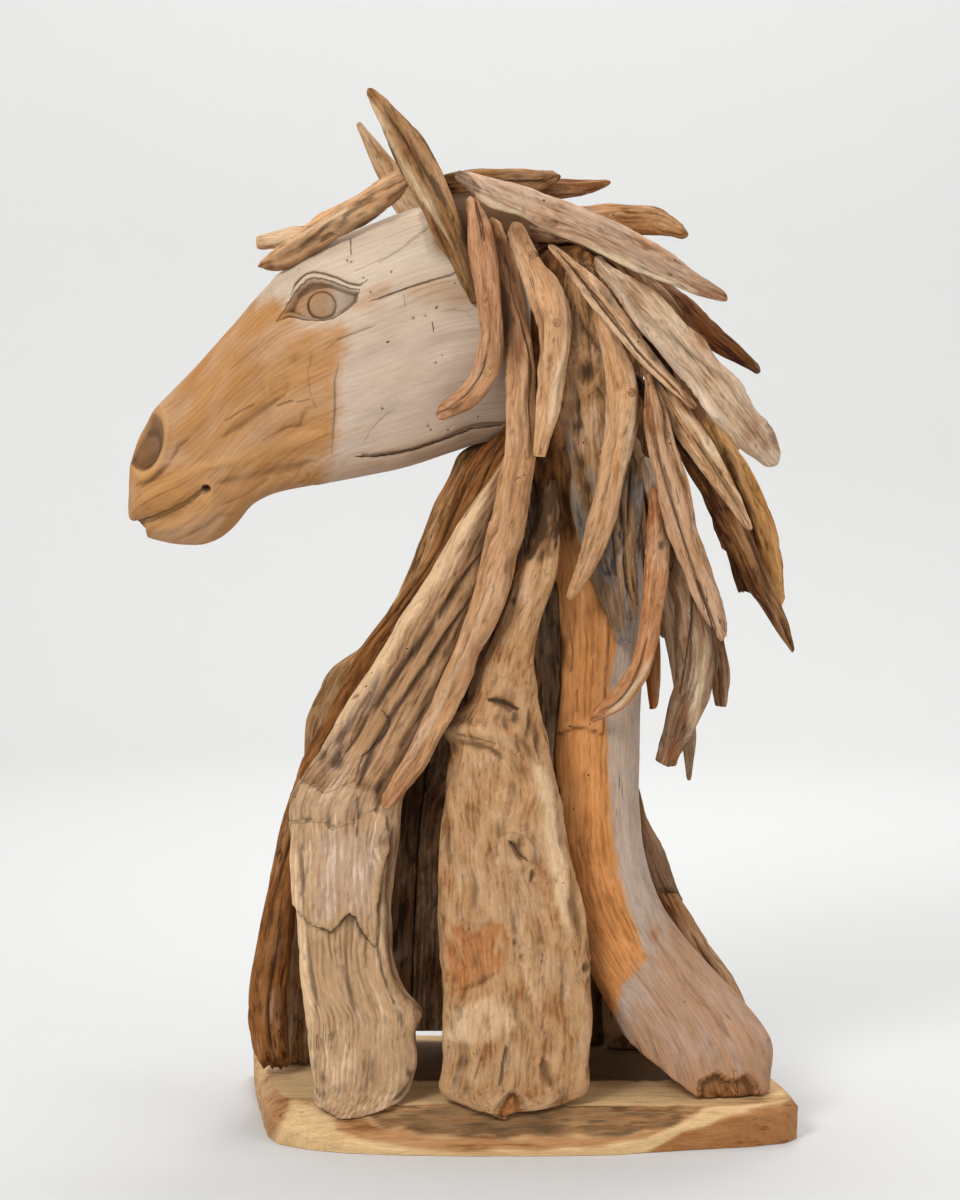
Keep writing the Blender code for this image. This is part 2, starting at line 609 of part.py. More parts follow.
def carve_mouth(piece, tree):
    """Groove of the mouth round the muzzle, ending in a drilled hole on each side."""
    path = []
    for outward in (NEAR, FAR):
        path.append([hit(tree, x, z, outward)[0] for x, z in MOUTH_LINE])
    notch = Vector((MOUTH_NOTCH[0], 0, MOUTH_NOTCH[1]))
    centres = path[0][::-1] + [notch] + path[1]
    outline = section(6, 2.0, "mouth", 0.0)
    radii = [2 * MOUTH_RADIUS] * len(centres)
    groove = guide("mouth_groove", loft(swept_rings(centres, radii, radii, Vector((0, 0, 1)), outline)))
    combine(piece, groove, "DIFFERENCE")
    bpy.data.objects.remove(groove)
    drill_outline = section(8, 2.0, "drill", 0.0)
    sizes = [2 * MOUTH_HOLE_RADIUS] * 2
    for points, outward in zip(path, (NEAR, FAR)):
        ends = [points[-1] + outward * DRILL_REACH, points[-1] - outward * MOUTH_HOLE_DEPTH]
        drill = guide("mouth_hole", loft(swept_rings(ends, sizes, sizes, Vector((0, 0, 1)), drill_outline)))
        combine(piece, drill, "DIFFERENCE")
        bpy.data.objects.remove(drill)


def head():
    """Carved block of the head with its eyes, nostrils and mouth."""
    rows, _ = resample(HEAD_SECTIONS, HEAD_RINGS, (0, 1, 2, 3))
    piece = add_piece("head", "washed", loft([head_section(row) for row in rows]))
    tree = surface(piece)
    for outward in (NEAR, FAR):
        carve_eye(piece, tree, outward)
        carve_nostril(piece, tree, outward)
    carve_mouth(piece, tree)
    return piece


def ring_count(length):
    """How many rings a stick of this length gets."""
    return max(FEWEST_RINGS, min(MOST_RINGS, round(length / RING_STEP) + 3))


def support(trees, x, z, outward):
    """How far out the pieces already placed reach at x, z, or None."""
    reach = None
    for tree in trees:
        found = hit(tree, x, z, outward)
        if found is not None:
            distance = found[0].dot(outward)
            if reach is None or distance > reach:
                reach = distance
    return reach


def rest_line(trees, rows, outward):
    """Where the underside of a stick comes to rest, and its roll, at each of its rings.

    The stick is stiff: it bridges hollows and curves towards the neck by BEND_RADIUS at most.
    """
    places = [Vector((row[0], 0, row[1])) for row in rows]
    reach = [0.0]
    for before, after in zip(places, places[1:]):
        reach.append(reach[-1] + (after - before).length)
    heights = []
    rolls = []
    for place, tangent, row in zip(places, tangents(places), rows):
        across = tangent.cross(outward)
        sides = []
        for offset in (-REST_OFFSET, 0.0, REST_OFFSET):
            point = place + across * (offset * row[2])
            sides.append(support(trees, point.x, point.z, outward))
        found = [side for side in sides if side is not None]
        heights.append(max(found) if found else None)
        slope = 0.0
        if sides[0] is not None and sides[2] is not None:
            slope = (sides[2] - sides[0]) / (2 * REST_OFFSET * row[2])
        rolls.append(max(-MAX_ROLL, min(MAX_ROLL, math.atan(slope))))
    lines = []
    for i in range(len(rows)):
        reachable = []
        for j, height in enumerate(heights):
            if height is not None:
                reachable.append(height - (reach[i] - reach[j]) ** 2 / (2 * BEND_RADIUS))
        lines.append(max(reachable))
    return lines, rolls


def lay(name, tone, flatness, stations, outward, placed, hollow=0.0):
    """Lay a stick on the pieces already placed, from the side that `outward` points to."""
    length = sum(math.dist(a[:2], b[:2]) for a, b in zip(stations, stations[1:]))
    rows, _ = resample(stations, ring_count(length), (0, 1))
    trees = [surface(piece) for piece in placed]
    lines, rolls = rest_line(trees, rows, outward)
    outline = section(EAR_SIDES if hollow else STICK_SIDES, STICK_SQUARENESS, name, STICK_ROUGHNESS)
    widths = [row[2] for row in rows]
    thicknesses = [max(MIN_THICKNESS, min(MAX_THICKNESS, flatness * width)) for width in widths]
    lift = 0.0
    while True:
        centres = []
        for row, line, thickness in zip(rows, lines, thicknesses):
            centres.append(Vector((row[0], 0, row[1])) + outward * (line + thickness / 2 + lift))
        mesh = loft(swept_rings(centres, widths, thicknesses, outward, outline, rolls, hollow))
        tree = BVHTree.FromBMesh(mesh)
        if not any(tree.overlap(other) for other in trees):
            break
        mesh.free()
        lift += SETTLE_STEP
    for vertex in mesh.verts:
        vertex.co += outward * GAP * MM
    return add_piece(name, tone, mesh)


def fit(name, tone, stations, placed):
    """Stick that gives way to the pieces it meets."""
    length = sum(math.dist(a[:3], b[:3]) for a, b in zip(stations, stations[1:]))
    rows, _ = resample(stations, ring_count(length), (0, 1, 2))
    centres = [Vector(row[:3]) for row in rows]
    widths = [row[3] for row in rows]
    thicknesses = [row[4] for row in rows]
    outline = section(STICK_SIDES, STICK_SQUARENESS, name, STICK_ROUGHNESS)
    piece = add_piece(name, tone, loft(swept_rings(centres, widths, thicknesses, NEAR, outline)))
    give_way(piece, placed)
    return piece


def build():
    """All pieces of the sculpture, from the slab outwards."""
    for old in list(bpy.data.objects):
        bpy.data.objects.remove(old)
    slab_piece = base()
    head_piece = head()
    trunk_piece = trunk(head_piece)

    left_root = upright("left_root", "tan", LEFT_ROOT, ROOT_SIDES)
    middle_root = upright("middle_root", "tan", MIDDLE_ROOT, ROOT_SIDES)
    stand_on_slab(trunk_piece, left_root, middle_root)
    placed = [slab_piece, head_piece, trunk_piece]
    uprights = [
        middle_root,
        left_root,
        upright("left_back_plank", "brown", LEFT_BACK_PLANK),
        upright("throat_plank", "dark", THROAT_PLANK),
        upright("inner_plank", "grey", INNER_PLANK),
        upright("far_plank_front", "dark", FAR_PLANK_FRONT),
        upright("far_plank_middle", "dark", FAR_PLANK_MIDDLE),
        upright("far_plank_rear", "brown", FAR_PLANK_REAR),
        upright("far_plank_foot", "brown", FAR_PLANK_FOOT),
    ]
    for piece in uprights:
        give_way(piece, placed)
        placed.append(piece)
    for name, tone, flatness, stations in NEAR_STICKS:
        hollow = EAR_HOLLOW if name.startswith("ear") else 0.0
        placed.append(lay(name, tone, flatness, stations, NEAR, placed, hollow))
    for name, tone, stations in FITTED_STICKS:
        placed.append(fit(name, tone, stations, placed))
    for name, tone, flatness, stations in FAR_STICKS:
        hollow = EAR_HOLLOW if name.startswith("ear") else 0.0
        placed.append(lay(name, tone, flatness, stations, FAR, placed, hollow))


build()
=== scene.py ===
"""Driftwood horse head on a live-edge slab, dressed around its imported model.

Every piece of wood is a grid of rings round its own centre line, read from the CAD solid. Tables
and grids are in millimetres, and the meshes are in metres. A piece's sides are named as seen from
the camera: the near side faces -Y and the far side +Y.
"""
import json
import math

import bpy
import numpy as np
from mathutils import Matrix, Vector
from mathutils.bvhtree import BVHTree


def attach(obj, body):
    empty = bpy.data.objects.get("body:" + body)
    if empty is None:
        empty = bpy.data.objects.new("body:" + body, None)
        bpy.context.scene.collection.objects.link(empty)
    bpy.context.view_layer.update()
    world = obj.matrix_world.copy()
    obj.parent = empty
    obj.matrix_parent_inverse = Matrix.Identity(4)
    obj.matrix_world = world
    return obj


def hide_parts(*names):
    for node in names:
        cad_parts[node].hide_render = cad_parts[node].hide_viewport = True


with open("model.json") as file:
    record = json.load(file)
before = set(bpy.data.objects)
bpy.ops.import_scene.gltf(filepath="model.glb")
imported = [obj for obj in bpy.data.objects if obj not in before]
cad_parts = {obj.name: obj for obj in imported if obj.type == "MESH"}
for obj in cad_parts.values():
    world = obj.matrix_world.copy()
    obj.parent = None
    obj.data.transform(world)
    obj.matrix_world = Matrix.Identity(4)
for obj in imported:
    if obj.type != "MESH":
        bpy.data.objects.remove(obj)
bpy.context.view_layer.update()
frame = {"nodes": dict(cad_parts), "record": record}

MM = 0.001
NEAR = np.array((0.0, -1.0, 0.0))
FAR = np.array((0.0, 1.0, 0.0))
UP = np.array((0.0, 0.0, 1.0))
COARSE = 1.0   # grids are wider above 1

# Camera, in millimetres and degrees
CAMERA_PLACE = (-35.0, -2400.0, 677.0)
CAMERA_TILT = 3.806
CAMERA_LENS = 72.15

# Light: what a tone is divided by, so that it shows as written, and what gloss alone adds to it
BRIGHTNESS = 0.96
SHEEN = 0.010
SHADE_AND_SOOT = 0.22                           # tone of the deepest painted shade and grime, as a share of the dark wood
GLOSS = 0.25

# Name, place, target, size in metres and power in watts
LAMPS = (
    ("key", (-1.5, -2.3, 2.4), (0, 0, 0.55), 1.2, 60.0),
    ("fill", (2.4, -2.0, 1.5), (0, 0, 0.5), 1.6, 18.0),
    ("top", (0.2, 0.2, 2.9), (0, 0, 0.4), 1.4, 24.0),
    ("wall", (0.0, 1.2, 3.4), (0, 4.0, 1.5), 1.8, 62.0),
    ("rear", (0.9, 2.6, 2.3), (0, 0, 0.5), 1.6, 16.0),
)
AMBIENT = 0.40
BACKDROP_TONE = (0.685, 0.685, 0.68, 1.0)
BACKDROP_RADIUS = 4.0
BACKDROP_CURVE = 1.2                  # radius of the bend between floor and wall
BACKDROP_HEIGHT = 4.2

STEP = 6.0                            # between the sections of a centre line
SEARCH = 160.0                        # longer than any radius
THINNEST = 0.35                       # least radius of a ring
ENDLESS = 1e9                         # farther than anything in the scene
DIRECTIONS = 64                       # in which a mean section is measured
FILL_ROUNDS = 500                     # of smoothing over a carved part
OCCLUSION_CELL = 9.0                    # between the places where the shade of neighbours is measured
LEVEL_FLATS = 0.35                    # share of the flats' depth on pieces with level rings

# Planes that the carved head is sectioned in: top x, z, bottom x, z
HEAD_PLANES = (
    (-384, 624, -385, 602), (-382, 655, -380, 590), (-373, 690, -364, 578),
    (-358, 709, -339, 573), (-339, 728, -307, 573), (-313, 755, -283, 588),
    (-288, 783, -261, 614), (-262, 812, -229, 627), (-236, 841, -192, 633),
    (-208, 861, -155, 640), (-174, 878, -115, 648), (-136, 893, -75, 660),
    (-94, 908, -43, 672), (-12, 920, -12, 680),
)


def unit(vectors):
    """Vectors scaled to length 1."""
    return vectors / np.maximum(np.linalg.norm(vectors, axis=-1, keepdims=True), 1e-9)


def ease(values, low, high):
    """0 below low, 1 above high, and smooth between."""
    t = np.clip((values - low) / (high - low), 0.0, 1.0)
    return t * t * (3.0 - 2.0 * t)


def hashed(cells, seed):
    """Three repeatable numbers from -1 to 1 for every whole-numbered cell."""
    value = (cells[..., 0] * 73856093) ^ (cells[..., 1] * 19349663) ^ (cells[..., 2] * 83492791)
    value = (value ^ (seed * 40503 + 977)) & 0x7FFFFFFF
    numbers = []
    for _ in range(3):
        value = ((value ^ (value >> 15)) * 739982445 + 12345) & 0x7FFFFFFF
        value = ((value ^ (value >> 12)) * 695872825 + 6789) & 0x7FFFFFFF
        numbers.append(((value >> 7) & 0xFFFF) / 32767.5 - 1.0)
    return np.stack(numbers, axis=-1)


def noise(points, seed):
    """Smooth gradient noise, about -1 to 1, at points given in noise cells."""
    cells = np.floor(points).astype(np.int64)
    inside = points - cells
    fade = inside ** 3 * (inside * (inside * 6.0 - 15.0) + 10.0)
    total = np.zeros(points.shape[:-1])
    for corner in np.ndindex(2, 2, 2):
        corner = np.array(corner)
        slope = hashed(cells + corner, seed)
        weight = np.prod(np.where(corner == 1, fade, 1.0 - fade), axis=-1)
        total += weight * np.sum(slope * (inside - corner), axis=-1)
    return total * 1.5


def layered(points, seed, layers=3):
    """Noise with finer and weaker layers on top."""
    total = np.zeros(points.shape[:-1])
    for layer in range(layers):
        total += noise(points * 2.0 ** layer + 17.3 * layer, seed + layer) / 2.0 ** layer
    return total


def blur(grid, sigma, axis, closed):
    """Grid smoothed along one axis, which is closed into a loop or has free ends."""
    if sigma < 0.3:
        return grid
    reach = int(math.ceil(2.5 * sigma))
    total = np.zeros_like(grid)
    weights = 0.0
    count = grid.shape[axis]
    for step in range(-reach, reach + 1):
        weight = math.exp(-0.5 * (step / sigma) ** 2)
        index = np.arange(count) + step
        index = index % count if closed else np.clip(index, 0, count - 1)
        total += weight * np.take(grid, index, axis=axis)
        weights += weight
    return total / weights


class Solid:
    """A CAD solid, asked for its sections and its surface, in millimetres."""

    def __init__(self, name):
        mesh = frame["nodes"][name].data
        mesh.calc_loop_triangles()
        corners = np.zeros(len(mesh.loop_triangles) * 3, np.int32)
        mesh.loop_triangles.foreach_get("vertices", corners)
        places = np.zeros(len(mesh.vertices) * 3, np.float32)
        mesh.vertices.foreach_get("co", places)
        self.points = places.reshape(-1, 3).astype(float) / MM
        triangles = corners.reshape(-1, 3)
        self.faces = self.points[triangles]
        self.tree = BVHTree.FromPolygons(self.points.tolist(), triangles.tolist())
        edges = np.cross(self.faces[:, 1] - self.faces[:, 0], self.faces[:, 2] - self.faces[:, 0])
        self.areas = np.linalg.norm(edges, axis=1) / 2
        self.middles = self.faces.mean(axis=1)

    def centre_of_section(self, place, normal, within):
        """Middle of the section's outline near a place, or None where there is no section."""
        height = (self.faces - place) @ normal
        crossed = (height.min(axis=1) < 0) & (height.max(axis=1) > 0)
        if not crossed.any():
            return None
        faces = self.faces[crossed]
        height = height[crossed]
        ends = []
        for a, b in ((0, 1), (1, 2), (2, 0)):
            gap = height[:, a] - height[:, b]
            gap = np.where(np.abs(gap) < 1e-9, 1e-9, gap)
            t = height[:, a] / gap
            spot = faces[:, a] + (faces[:, b] - faces[:, a]) * t[:, None]
            ends.append((spot, (t > 0) & (t < 1)))
        first = np.where(ends[0][1][:, None], ends[0][0], ends[1][0])
        second = np.where(ends[2][1][:, None], ends[2][0], ends[1][0])
        lengths = np.linalg.norm(second - first, axis=1)
        middles = (first + second) / 2
        lengths = lengths * (np.linalg.norm(middles - place, axis=1) < within)
        if lengths.sum() < 1.0:
            return None
        return (middles * lengths[:, None]).sum(axis=0) / lengths.sum()

    def reach(self, place, direction):
        """Distance from a place to the surface along a direction; None if there is none."""
        start = Vector(place)
        heading = Vector(direction)
        spot, normal, _, distance = self.tree.ray_cast(start, heading)
        if spot is not None and normal.dot(heading) > 0:
            return distance
        spot, _, _, distance = self.tree.ray_cast(start + heading * SEARCH, -heading)
        if spot is not None and distance < SEARCH:
            return SEARCH - distance
        return None


def centre_line(solid, within, level, step=STEP):
    """Middles of a solid's sections from end to end, and the normals of their planes.

    The planes are level, or square to the line; `level` is the height below which they turn level.
    """
    weights = solid.areas / solid.areas.sum()
    middle = (solid.middles * weights[:, None]).sum(axis=0)
    spread = solid.middles - middle
    _, axes = np.linalg.eigh((spread * weights[:, None]).T @ spread)
    axis = axes[:, -1]
    if axis[2] > 0:
        axis = -axis

    def plane(place, heading):
        if level is None:
            return heading
        turn = ease(place[2], level * 0.4, level) if level > 0 else 0.0
        return unit(heading * turn - UP * (1.0 - turn))

    start = solid.centre_of_section(middle, plane(middle, axis), ENDLESS)
    line = [start]
    for way in (-1, 1):
        here = start
        heading = axis * way
        found = []
        while len(found) < 400:
            ahead = here + heading * step
            spot = None
            for _ in range(2):
                spot = solid.centre_of_section(ahead, plane(ahead, heading * way) * way, within)
                if spot is None:
                    break
                heading = unit(0.5 * heading + 0.5 * unit(spot - here))
                ahead = here + heading * step
            if spot is None:
                break
            here = spot
            found.append(spot)
        line = found[::-1] + line if way < 0 else line + found
    line = np.array(line)
    ends = line[0].copy(), line[-1].copy()
    line = blur(line, 1.6, 0, False)
    line[0], line[-1] = ends
    headings = unit(blur(np.gradient(line, axis=0), 1.2, 0, False))
    normals = np.array([plane(place, heading) for place, heading in zip(line, headings)])
    for index, way in ((0, -1), (-1, 1)):
        rest = solid.reach(line[index], headings[index] * way)
        if rest is not None and 0.05 < rest < 3 * step:
            tip = line[index] + headings[index] * way * max(rest - 0.3, 0.05)
            where = 0 if way < 0 else len(line)
            line = np.insert(line, where, tip, axis=0)
            normals = np.insert(normals, where, normals[index], axis=0)
    return line, normals


class Log:
    """A piece of wood as rings of radii round a centre line, with its relief and its marks."""

    def __init__(self, name, line, normals, outward, spacing, soften,
                 density=None, carved=None, stations=None):
        self.name = name
        solid = Solid(name)
        outward = unit(outward - normals * (normals @ outward)[:, None])
        across = np.cross(outward, normals)
        even = np.linspace(0.0, math.tau, DIRECTIONS, endpoint=False)
        samples = range(0, len(line), max(1, len(line) // 9))
        mean = np.nanmean([self.cast(solid, line[i], across[i], outward[i], even)
                           for i in samples], axis=0)
        mean = np.where(np.isnan(mean), np.nanmean(mean), mean)
        outline = np.stack((mean * np.cos(even), mean * np.sin(even)), axis=1)
        sides = np.linalg.norm(np.roll(outline, -1, axis=0) - outline, axis=1)
        if density is not None:
            sides = sides * density(even + even[1] / 2)
        around = np.concatenate(([0.0], np.cumsum(sides)))
        count = max(14, int(round(around[-1] / (spacing[0] * COARSE))))
        steps = np.arange(count) * around[-1] / count
        self.angles = np.interp(steps, around, np.append(even, math.tau))
        self.girth = around[-1]
        rough = np.array([self.cast(solid, place, a, o, self.angles)
                          for place, a, o in zip(line, across, outward)])
        rough = self.mend(rough)
        if carved is not None:
            places = line[:, None] + self.fan(across, outward) * rough[:, :, None]
            rough = self.fill(rough, carved(places))
        lengths = np.linalg.norm(np.diff(line, axis=0), axis=1)
        coarse = np.concatenate(([0.0], np.cumsum(lengths)))
        self.length = coarse[-1]
        if stations is None:
            count_along = max(8, int(self.length / (spacing[1] * COARSE)))
            inner = np.linspace(0.0, self.length, count_along + 1)
        else:
            inner = stations(self.length)[::int(math.ceil(COARSE))]
        close = np.array((0.5, 1.2, 2.2, 3.6))
        self.reach = np.unique(np.round(np.concatenate((inner, close, self.length - close)), 3))
        self.reach = self.reach[(self.reach >= 0) & (self.reach <= self.length)]

        def read(table):
            flat = table.reshape(len(table), -1)
            columns = [np.interp(self.reach, coarse, flat[:, i]) for i in range(flat.shape[1])]
            return np.stack(columns, axis=1).reshape((len(self.reach),) + table.shape[1:])

        self.centres = read(line)
        self.along = unit(read(normals))
        self.outward = unit(read(outward))
        self.across = np.cross(self.outward, self.along)
        radius = blur(read(rough), soften[1] / (self.length / len(inner)), 0, False)
        self.radius = blur(radius, soften[0] / (self.girth / count), 1, True)
        shape = self.radius.shape
        self.offset, self.shift, self.dark, self.pale, self.red = np.zeros((5, *shape))
        self.spokes = self.fan(self.across, self.outward)
        self.plain = self.rings(self.radius)
        self.straight = np.stack((
            self.radius * np.cos(self.angles), self.radius * np.sin(self.angles),
            np.broadcast_to(self.reach[:, None], shape)), axis=-1)
        self.facing = self.spokes @ NEAR
        self.size = self.radius.mean(axis=1)
        self.cover = None

    def fan(self, across, outward):
        """Directions from the centre line to the points of every ring."""
        return (np.cos(self.angles)[None, :, None] * across[:, None]
                + np.sin(self.angles)[None, :, None] * outward[:, None])

    def rings(self, radius):
        """Points of every ring, at these radii."""
        return self.centres[:, None] + self.spokes * radius[:, :, None]

    def seen(self, side):
        """How far each point faces the near side (1) or the far side (-1); 1 for both (0)."""
        return 1.0 if side == 0 else ease(self.facing * side, -0.25, 0.15)

    def shade(self, *masks):
        """Darken the wood to these masks where it is paler."""
        for mask in masks:
            self.dark = np.maximum(self.dark, mask)

    def soften_from(self, reach, across, along):
        """Smooth the piece more strongly beyond a distance from its start."""
        smooth = blur(self.radius, across / (self.girth / len(self.angles)), 1, True)
        smooth = blur(smooth, along / (self.length / len(self.reach)), 0, False)
        share = ease(self.reach, reach * 0.4, reach)[:, None]
        self.radius = self.radius * (1.0 - share) + smooth * share
        self.plain = self.rings(self.radius)

    @staticmethod
    def cast(solid, place, across, outward, angles):
        """Radii of one section."""
        radii = []
        for angle in angles:
            distance = solid.reach(place, across * math.cos(angle) + outward * math.sin(angle))
            radii.append(np.nan if distance is None else distance)
        return np.array(radii)

    @staticmethod
    def mend(rough):
        """Radii with the missing ones read from their neighbours."""
        for row in range(len(rough)):
            known = ~np.isnan(rough[row])
            if known.sum() < 3:
                rough[row] = rough[row - 1] * 0.6 if row else 2.0
            elif not known.all():
                index = np.arange(rough.shape[1])
                rough[row] = np.interp(index, index[known], rough[row][known], period=len(index))
        return rough

    @staticmethod
    def fill(grid, hidden):
        """Grid with the hidden cells bridged smoothly from their neighbours."""
        for _ in range(FILL_ROUNDS):
            above = np.vstack((grid[:1], grid[:-1]))
            below = np.vstack((grid[1:], grid[-1:]))
            beside = np.roll(grid, 1, axis=1) + np.roll(grid, -1, axis=1)
            grid = np.where(hidden, (above + below + beside) / 4.0, grid)
        return grid

    def grained(self, around, along, seed, layers=2):
        """Noise in the straightened wood, with cells of these sizes."""
        cells = np.array((around, around, along), float)
        return layered(self.straight / cells + seed * 3.7, seed, layers)

    def spot(self, x, z, wide, high):
        """Soft spot on the near side."""
        u = (self.plain[..., 0] - x) / wide
        v = (self.plain[..., 2] - z) / high
        return np.exp(-(u * u + v * v)) * self.seen(1)

    def stroke(self, points, width, side=1, taper=0.25):
        """Soft line through points x, z, on one side or both (0), thinning out at its ends."""
        points = np.array(points, float)
        place = self.plain[..., (0, 2)]
        lengths = np.linalg.norm(np.diff(points, axis=0), axis=1)
        before = np.concatenate(([0.0], np.cumsum(lengths)))
        nearest = np.full(place.shape[:-1], ENDLESS)
        reach = np.zeros(place.shape[:-1])
        for i, length in enumerate(lengths):
            way = (points[i + 1] - points[i]) / length
            t = np.clip((place - points[i]) @ way, 0.0, length)
            gap = np.linalg.norm(place - points[i] - t[..., None] * way, axis=-1)
            closer = gap < nearest
            nearest = np.where(closer, gap, nearest)
            reach = np.where(closer, before[i] + t, reach)
        t = reach / before[-1]
        thin = 1.0 if taper <= 0 else np.clip(np.minimum(t, 1.0 - t) / taper, 0.12, 1.0)
        return np.exp(-(nearest / (width * thin)) ** 2) * self.seen(side) * np.sqrt(thin)

    def inside(self, outline, side=1):
        """How deep each point lies inside an outline of x, z, in millimetres; negative outside."""
        outline = np.array(outline, float)
        place = self.plain[..., (0, 2)]
        ahead = np.roll(outline, -1, axis=0)
        gap = np.full(place.shape[:-1], ENDLESS)
        odd = np.zeros(place.shape[:-1], bool)
        for a, b in zip(outline, ahead):
            way = b - a
            t = np.clip(((place - a) @ way) / (way @ way), 0.0, 1.0)
            gap = np.minimum(gap, np.linalg.norm(place - a - t[..., None] * way, axis=-1))
            rise = way[1] if abs(way[1]) > 1e-9 else 1e-9
            crossing = a[0] + (place[..., 1] - a[1]) * way[0] / rise
            odd ^= ((a[1] > place[..., 1]) != (b[1] > place[..., 1])) & (place[..., 0] < crossing)
        depth = np.where(odd, gap, -gap)
        return depth if side == 0 else np.where(self.facing * side > -0.1, depth, -60.0)

    def plane_off(self, seed, bite, flats=5):
        """Long flats, as a knife or the sea leaves them, wandering along the wood."""
        source = np.random.RandomState(seed)
        for _ in range(flats):
            home = source.uniform(0.0, math.tau)
            at = np.zeros((len(self.reach), 3))
            at[:, 0] = self.reach / 85.0 + home * 9.0
            angle = home + 0.7 * noise(at, seed + 11)
            depth = bite * np.maximum(0.55 + 1.1 * noise(at * 1.7 + 5.0, seed + 12), 0.0)
            facing = np.cos(self.angles[None, :] - angle[:, None])
            support = (self.radius * facing).max(axis=1) - depth * np.minimum(self.size, 22.0)
            flat = support[:, None] / np.maximum(facing, 0.05)
            self.radius = np.minimum(self.radius, np.where(facing > 0.1, flat, ENDLESS))

    def weather(self, seed, lumps, grooves, fine, flakes):
        """Uneven girth, broken grooves along the grain, a finer grain, and layers flaked off."""
        size = np.minimum(self.size, 26.0)[:, None] / 15.0
        self.offset += lumps * size * self.grained(24.0, 60.0, seed, 3)
        ridged = np.abs(self.grained(13.0, 85.0, seed + 5, 3))
        where = ease(self.grained(30.0, 70.0, seed + 6, 2), -0.25, 0.45)
        cut = np.clip(1.0 - ridged / 0.16, 0.0, 1.0) * where
        self.offset -= grooves * 1.7 * cut * np.minimum(size, 1.4)
        thin = self.grained(4.2, 34.0, seed + 9, 2)
        self.offset += fine * 0.45 * thin
        for around, along, level, depth in ((15.0, 95.0, 0.16, 0.75), (8.0, 70.0, 0.30, 0.5)):
            flake = self.grained(around, along, seed + 21, 3) - level
            self.offset -= flakes * depth * ease(flake, -0.035, 0.035)
            # painted shade along the step where a layer has flaked off
            self.dark += 0.45 * flakes * np.exp(-((flake - 0.03) / 0.045) ** 2)
        # painted shade in the grooves
        self.dark += np.minimum(0.55, 0.6 * grooves) * cut ** 1.5 * ease(thin, -0.6, 0.3)

    def shelter(self, others, far=55.0):
        """Painted shade where neighbouring wood stands close over this piece."""
        rows, columns = (
            np.unique(np.linspace(0, count - 1, max(least, int(size / OCCLUSION_CELL))).astype(int))
            for count, least, size in ((len(self.reach), 4, self.length),
                                       (len(self.angles), 8, self.girth)))
        found = np.zeros((len(rows), len(columns)))
        ways = [(1.0, 0.0, 0.0)]
        ways += [(0.62, 0.78 * math.cos(turn), 0.78 * math.sin(turn))
                 for turn in np.arange(0.3, math.tau, math.tau / 6)]
        for i, row in enumerate(rows):
            along = self.along[row]
            for j, column in enumerate(columns):
                out = self.spokes[row, column]
                beside = np.cross(along, out)
                begin = Vector(self.plain[row, column] + out * 3.0)
                occluded = 0.0
                for a, b, c in ways:
                    hit = others.ray_cast(begin, Vector(out * a + along * b + beside * c), far)
                    if hit[3] is not None:
                        occluded += 1.0 - (hit[3] / far) ** 0.7
                found[i, j] = occluded / len(ways)
        found = blur(blur(found, 0.6, 0, False), 0.6, 1, False)
        wide = np.array([np.interp(np.arange(len(self.angles)), columns, row) for row in found])
        full = [np.interp(np.arange(len(self.reach)), rows, wide[:, j]) for j in range(wide.shape[1])]
        return np.array(full).T

    def crack(self, seed, count, depth=2.2, width=1.3):
        """Drying cracks along the grain, opening between their closed ends."""
        source = np.random.RandomState(seed)
        arc = self.angles / math.tau * self.girth
        for _ in range(count):
            begin = source.uniform(-0.1, 0.75) * self.length
            finish = begin + source.uniform(0.18, 0.5) * self.length
            home = source.uniform(0.0, self.girth)
            drift = source.uniform(-0.05, 0.05)
            t = np.clip((self.reach - begin) / (finish - begin), 0.0, 1.0)
            open_ = np.sqrt(np.clip(4.0 * t * (1.0 - t), 0.0, 1.0))
            wander = 1.6 * np.sin(self.reach / 23.0 + home) + drift * (self.reach - begin)
            gap = (arc[None, :] - (home + wander)[:, None] + self.girth / 2) % self.girth
            gap = np.abs(gap - self.girth / 2)
            mark = np.exp(-(gap / width) ** 2) * open_[:, None]
            self.offset -= depth * mark
            self.shade(0.95 * mark)

    def end(self, at_start, kind, seed):
        """Shape one end: worn and aslant, cut square with a worn edge, or torn."""
        distance = self.reach if at_start else self.length - self.reach
        size = self.size[1 if at_start else -2]
        zone, floor, slant = {
            "worn": (0.7 * size, 0.25, 0.5), "cut": (min(2.0, 0.3 * size), 0.86, 0.12),
            "torn": (min(3.5, 0.2 * size), 0.88, 0.45)}[kind]
        t = np.clip(distance / max(1.0, zone), 0.0, 1.0)
        round_off = np.sqrt(np.clip(1.0 - (1.0 - t) ** 2, 0.0, 1.0))
        self.radius = self.radius * (floor + (1.0 - floor) * round_off)[:, None]
        way = 1.0 if at_start else -1.0
        fade = np.exp(-distance / (1.1 * size + 4.0))[:, None]
        if size < 25.0:
            lean = 1.0 + np.cos(self.angles - seed * 2.4)
            self.shift += way * slant * fade * lean * self.radius
        if kind == "worn":
            chip = layered(self.straight * np.array((0.11, 0.11, 0.03)), seed + 33, 2)
            self.offset -= 0.22 * fade * np.maximum(chip, -0.1) * self.radius
        if kind == "torn":
            cells = 1.0 / max(6.0, 0.5 * size)
            jag = layered(self.straight * np.array((cells, cells, 0.002)) + seed, seed + 31, 3)
            self.shift += way * fade * np.maximum(jag + 0.35, 0.0) * min(11.0, 0.8 * size)
            self.offset -= 1.6 * fade * np.abs(self.grained(5.0, 30.0, seed + 3, 2))
            self.dark += 0.35 * fade * ease(jag, 0.0, 0.6)

    def places(self):
        """Surface points of all rings."""
        rings = self.rings(np.maximum(self.radius + self.offset, THINNEST))
        return rings + self.along[:, None] * self.shift[:, :, None]

